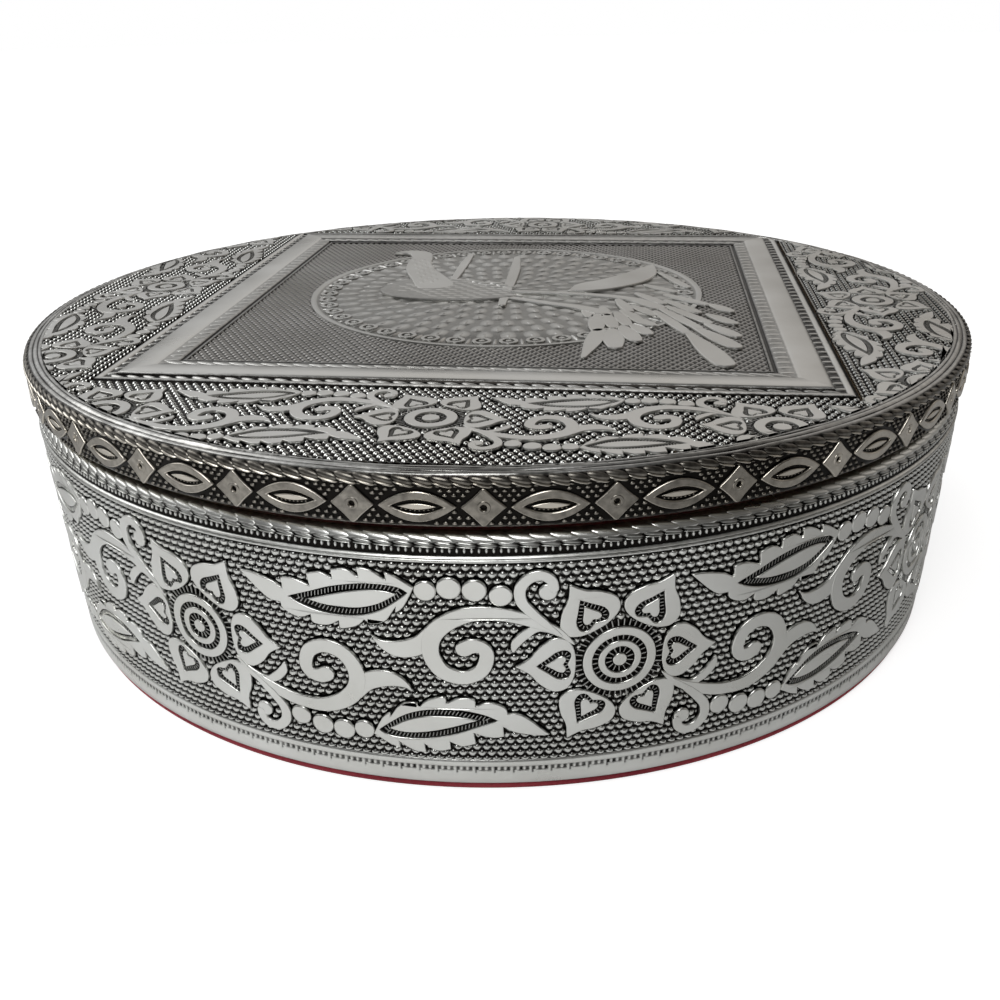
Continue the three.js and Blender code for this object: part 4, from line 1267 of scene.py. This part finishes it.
velvet_skin("base_cloth", [
    (0.05, 0.02), (85.6, 0.02), (85.88, 0.1), (86.0, 0.45), (86.0, 1.0), (85.8, 1.28), (84.8, 1.3),
], "box", "base_felt", base_cloth, 0.03, cap=True)
velvet_skin("well_cloth", [
    (82.35, 43.25), (82.4, 44.0), (82.4, 47.2), (82.2, 47.75), (81.7, 48.0), (79.6, 48.0), (79.0, 47.8),
    (78.8, 47.3), (78.8, 7.6),
], "box", "well_lining", velvet, 0.12)
velvet_skin("floor_cloth", [
    (78.5, 6.9), (78.35, 7.4), (77.6, 7.6), (70, 7.65), (0.05, 7.65),
], "box", "floor_velvet", velvet, 0.25)
velvet_skin("lid_cloth", [
    (0.05, 48.35), (70, 48.35), (83.0, 48.4), (83.7, 48.7),
], "lid", "lid_lining", velvet, 0.1, cap=True)
velvet_skin("lid_rim_cloth", [
    (83.2, 48.3), (83.2, 46.2), (83.25, 45.6), (83.5, 45.32), (83.85, 45.35),
], "lid", "lid_rim_lining", velvet, 0.06)


# The boards and cards inside: fibreboard for the wall, the base and the lid, grey card for
# the collar and the floor. They keep the shape of their solids; the cut edges stay raw.


def raw_board(name, dark, light, scale):
    material, tree, shader = new_material(name)
    shader.inputs["Roughness"].default_value = 0.88
    place = shader_node(tree, "TexCoord").outputs["Object"]
    fibre = noise(tree, place, scale, 8.0, Roughness=0.7)
    feed(tree, shader, {
        "Base Color": colour_ramp(tree, fibre, 0.35, dark, 0.65, light),
        "Normal": bump(tree, fibre, 0.4, 0.0002),
    })
    return material


board = raw_board("fibreboard", (0.20, 0.13, 0.075), (0.38, 0.27, 0.16), 420)
card = raw_board("grey card", (0.22, 0.20, 0.17), (0.34, 0.32, 0.28), 600)
for names, material in (
    (("base_board", "body_wall", "lid_board", "lid_rim"), board), (("neck_collar", "floor_card"), card),
):
    for name in names:
        for material_slot in bpy.data.objects[name].material_slots:
            material_slot.material = material


# The table and the light: a plain white table top, a pale room that is greyer overhead and
# two soft lamps. None of it belongs to the box.

TABLE_RADIUS = 3.0
TABLE_CORNERS = 96
TABLE_WHITE = (0.54, 0.54, 0.54, 1)
PURE_WHITE = (1, 1, 1, 1)
SHADE_REACH = (0.15, 0.7)
SHADE_WHITE = 0.73
GLOW_NEAR_Y, GLOW_FAR_Y = -0.16, 0.03
GLOW_LEFT_X, GLOW_RIGHT_X = -0.02, 0.10
WARM_SIDE = (0.80, 0.75, 0.70, 1)
ROOM_LOW_GREY, ROOM_HIGH_GREY = 0.50, 0.10
ROOM_GREYS = ((0.5, 0.40), (0.53, 0.22), (0.6, 0.26), (0.68, 0.88), (0.76, 0.74), (0.86, 0.34), (0.93, 0.15))


def of_two(tree, operation, one, two):
    return shader_node(tree, "Math", feeds={0: one, 1: two}, operation=operation).outputs[0]


def white_table():
    """White to the eye, a little greyer close to the box, where its shadow lies. In what metal mirrors it
    also glows: a painted patch of light in front and to the left, dimmer to the right as a painted shadow of
    the box."""
    material, tree, shader = new_material("white table")
    for socket, value in (("Base Color", TABLE_WHITE), ("Roughness", 0.9), ("Specular IOR Level", 0.1)):
        shader.inputs[socket].default_value = value
    ray = shader_node(tree, "LightPath").outputs
    place = shader_node(tree, "TexCoord").outputs["Object"]
    away = shader_node(tree, "VectorMath", feeds={0: place}, operation="LENGTH").outputs["Value"]
    direct = of_two(tree, "MAXIMUM", ray["Is Camera Ray"], ray["Is Transmission Ray"])
    seen = of_two(tree, "MULTIPLY", direct, spread(tree, away, *SHADE_REACH, SHADE_WHITE, 1.0))
    split = shader_node(tree, "SeparateXYZ", feeds={0: place}).outputs
    # Painted light: a glow that only reflections see, brighter in front and to the left, and dimmer to the
    # right and back as a painted shadow of the box.
    in_front = spread(tree, split["Y"], GLOW_NEAR_Y, GLOW_FAR_Y, 0.47, 0.05)
    to_the_left = spread(tree, split["X"], GLOW_LEFT_X, GLOW_RIGHT_X, 1.0, 0.1)
    mirrored = of_two(tree, "MULTIPLY", ray["Is Glossy Ray"], of_two(tree, "MULTIPLY", in_front, to_the_left))
    glow = shader_node(tree, "Emission", feeds={"Strength": of_two(tree, "MAXIMUM", seen, mirrored)})
    both = shader_node(tree, "AddShader", feeds={0: shader.outputs[0], 1: glow.outputs[0]})
    feed(tree, tree.nodes["Material Output"], {"Surface": both.outputs[0]})
    return material


def table_top():
    turns = np.arange(TABLE_CORNERS) * FULL_TURN / TABLE_CORNERS
    ring = np.column_stack([np.cos(turns), np.sin(turns), 0 * turns]) * TABLE_RADIUS
    mesh = bpy.data.meshes.new("table_top")
    mesh.from_pydata(ring.tolist(), [], [list(range(TABLE_CORNERS))])
    mesh.materials.append(white_table())
    table = bpy.data.objects.new("table_top", mesh)
    bpy.context.scene.collection.objects.link(table)


def pale_room():
    world = bpy.data.worlds.new("pale room")
    world.use_nodes = True
    bpy.context.scene.world = world
    tree = world.node_tree
    place = shader_node(tree, "TexCoord").outputs["Generated"]
    split = shader_node(tree, "SeparateXYZ", feeds={0: place}).outputs
    ramp = shader_node(tree, "ValToRGB", feeds={"Fac": spread(tree, split["Z"], -1, 1)})
    stops = ramp.color_ramp.elements
    stops[0].position, stops[0].color = 0.0, (*[ROOM_LOW_GREY] * 3, 1)
    stops[1].position, stops[1].color = 1.0, (*[ROOM_HIGH_GREY] * 3, 1)
    for position, grey in ROOM_GREYS:
        stops.new(position).color = (grey, grey, grey, 1)
    to_the_right = spread(tree, split["X"], -0.4, 0.6)
    warmer = shader_node(tree, "Mix", {"B": WARM_SIDE}, {"Factor": to_the_right, "A": ramp.outputs["Color"]},
                         data_type="RGBA", blend_type="MULTIPLY")
    dimmer_in_front = spread(tree, split["Y"], -0.3, 0.25, 0.2, 1.0)
    dimmed = shader_node(tree, "VectorMath", feeds={0: warmer.outputs["Result"], "Scale": dimmer_in_front},
                         operation="SCALE")
    ray = shader_node(tree, "LightPath").outputs
    mix = shader_node(tree, "Mix", {"B": PURE_WHITE}, {"Factor": ray["Is Camera Ray"], "A": dimmed.outputs[0]},
                      data_type="RGBA")
    background = tree.nodes["Background"]
    background.inputs["Strength"].default_value = 1.0
    feed(tree, background, {"Color": mix.outputs["Result"]})


def soft_lamp(name, place, size, power):
    light = bpy.data.lights.new(name, "AREA")
    light.shape = "RECTANGLE"
    light.size, light.size_y = size
    light.energy = power
    lamp = bpy.data.objects.new(name, light)
    lamp.location = place
    aim = Vector((0, 0, 0.03)) - Vector(place)
    lamp.rotation_euler = aim.to_track_quat("-Z", "Y").to_euler()
    bpy.context.scene.collection.objects.link(lamp)


table_top()
pale_room()
soft_lamp("window, high in front", (-0.16, -0.60, 0.92), (0.42, 0.70), 6)
soft_lamp("soft lamp, high left", (-0.9, 0.30, 0.9), (0.8, 0.8), 5)


# The camera stands at the photograph's place: fitted lengths are in lid radii from the
# middle of the base.

CAMERA_DISTANCE = 2.7135
CAMERA_LIFT = 0.4632
CAMERA_YAW = -0.0003
CAMERA_PITCH = 0.4338
CAMERA_ROLL = -0.019
FRAME_WIDTHS_OF_LENS = 1.0906
SENSOR_WIDTH = 36

unit = PLAN_RADIUS * MM
place = Vector((0, -math.cos(CAMERA_LIFT), math.sin(CAMERA_LIFT))) * CAMERA_DISTANCE * unit
forward = Vector((
    math.sin(CAMERA_YAW) * math.cos(CAMERA_PITCH),
    math.cos(CAMERA_YAW) * math.cos(CAMERA_PITCH),
    -math.sin(CAMERA_PITCH),
))
level = forward.cross(Vector((0, 0, 1))).normalized()
above = level.cross(forward)
right = level * math.cos(CAMERA_ROLL) + above * math.sin(CAMERA_ROLL)
upward = above * math.cos(CAMERA_ROLL) - level * math.sin(CAMERA_ROLL)
camera_data = bpy.data.cameras.new("camera")
camera_data.sensor_width = SENSOR_WIDTH
camera_data.lens = FRAME_WIDTHS_OF_LENS * SENSOR_WIDTH
camera_data.clip_start = 0.01
camera = bpy.data.objects.new("camera", camera_data)
camera.matrix_world = Matrix.Translation(place) @ Matrix((right, upward, -forward)).transposed().to_4x4()
bpy.context.scene.collection.objects.link(camera)
bpy.context.scene.camera = camera
bpy.context.scene.view_settings.view_transform = "Standard"
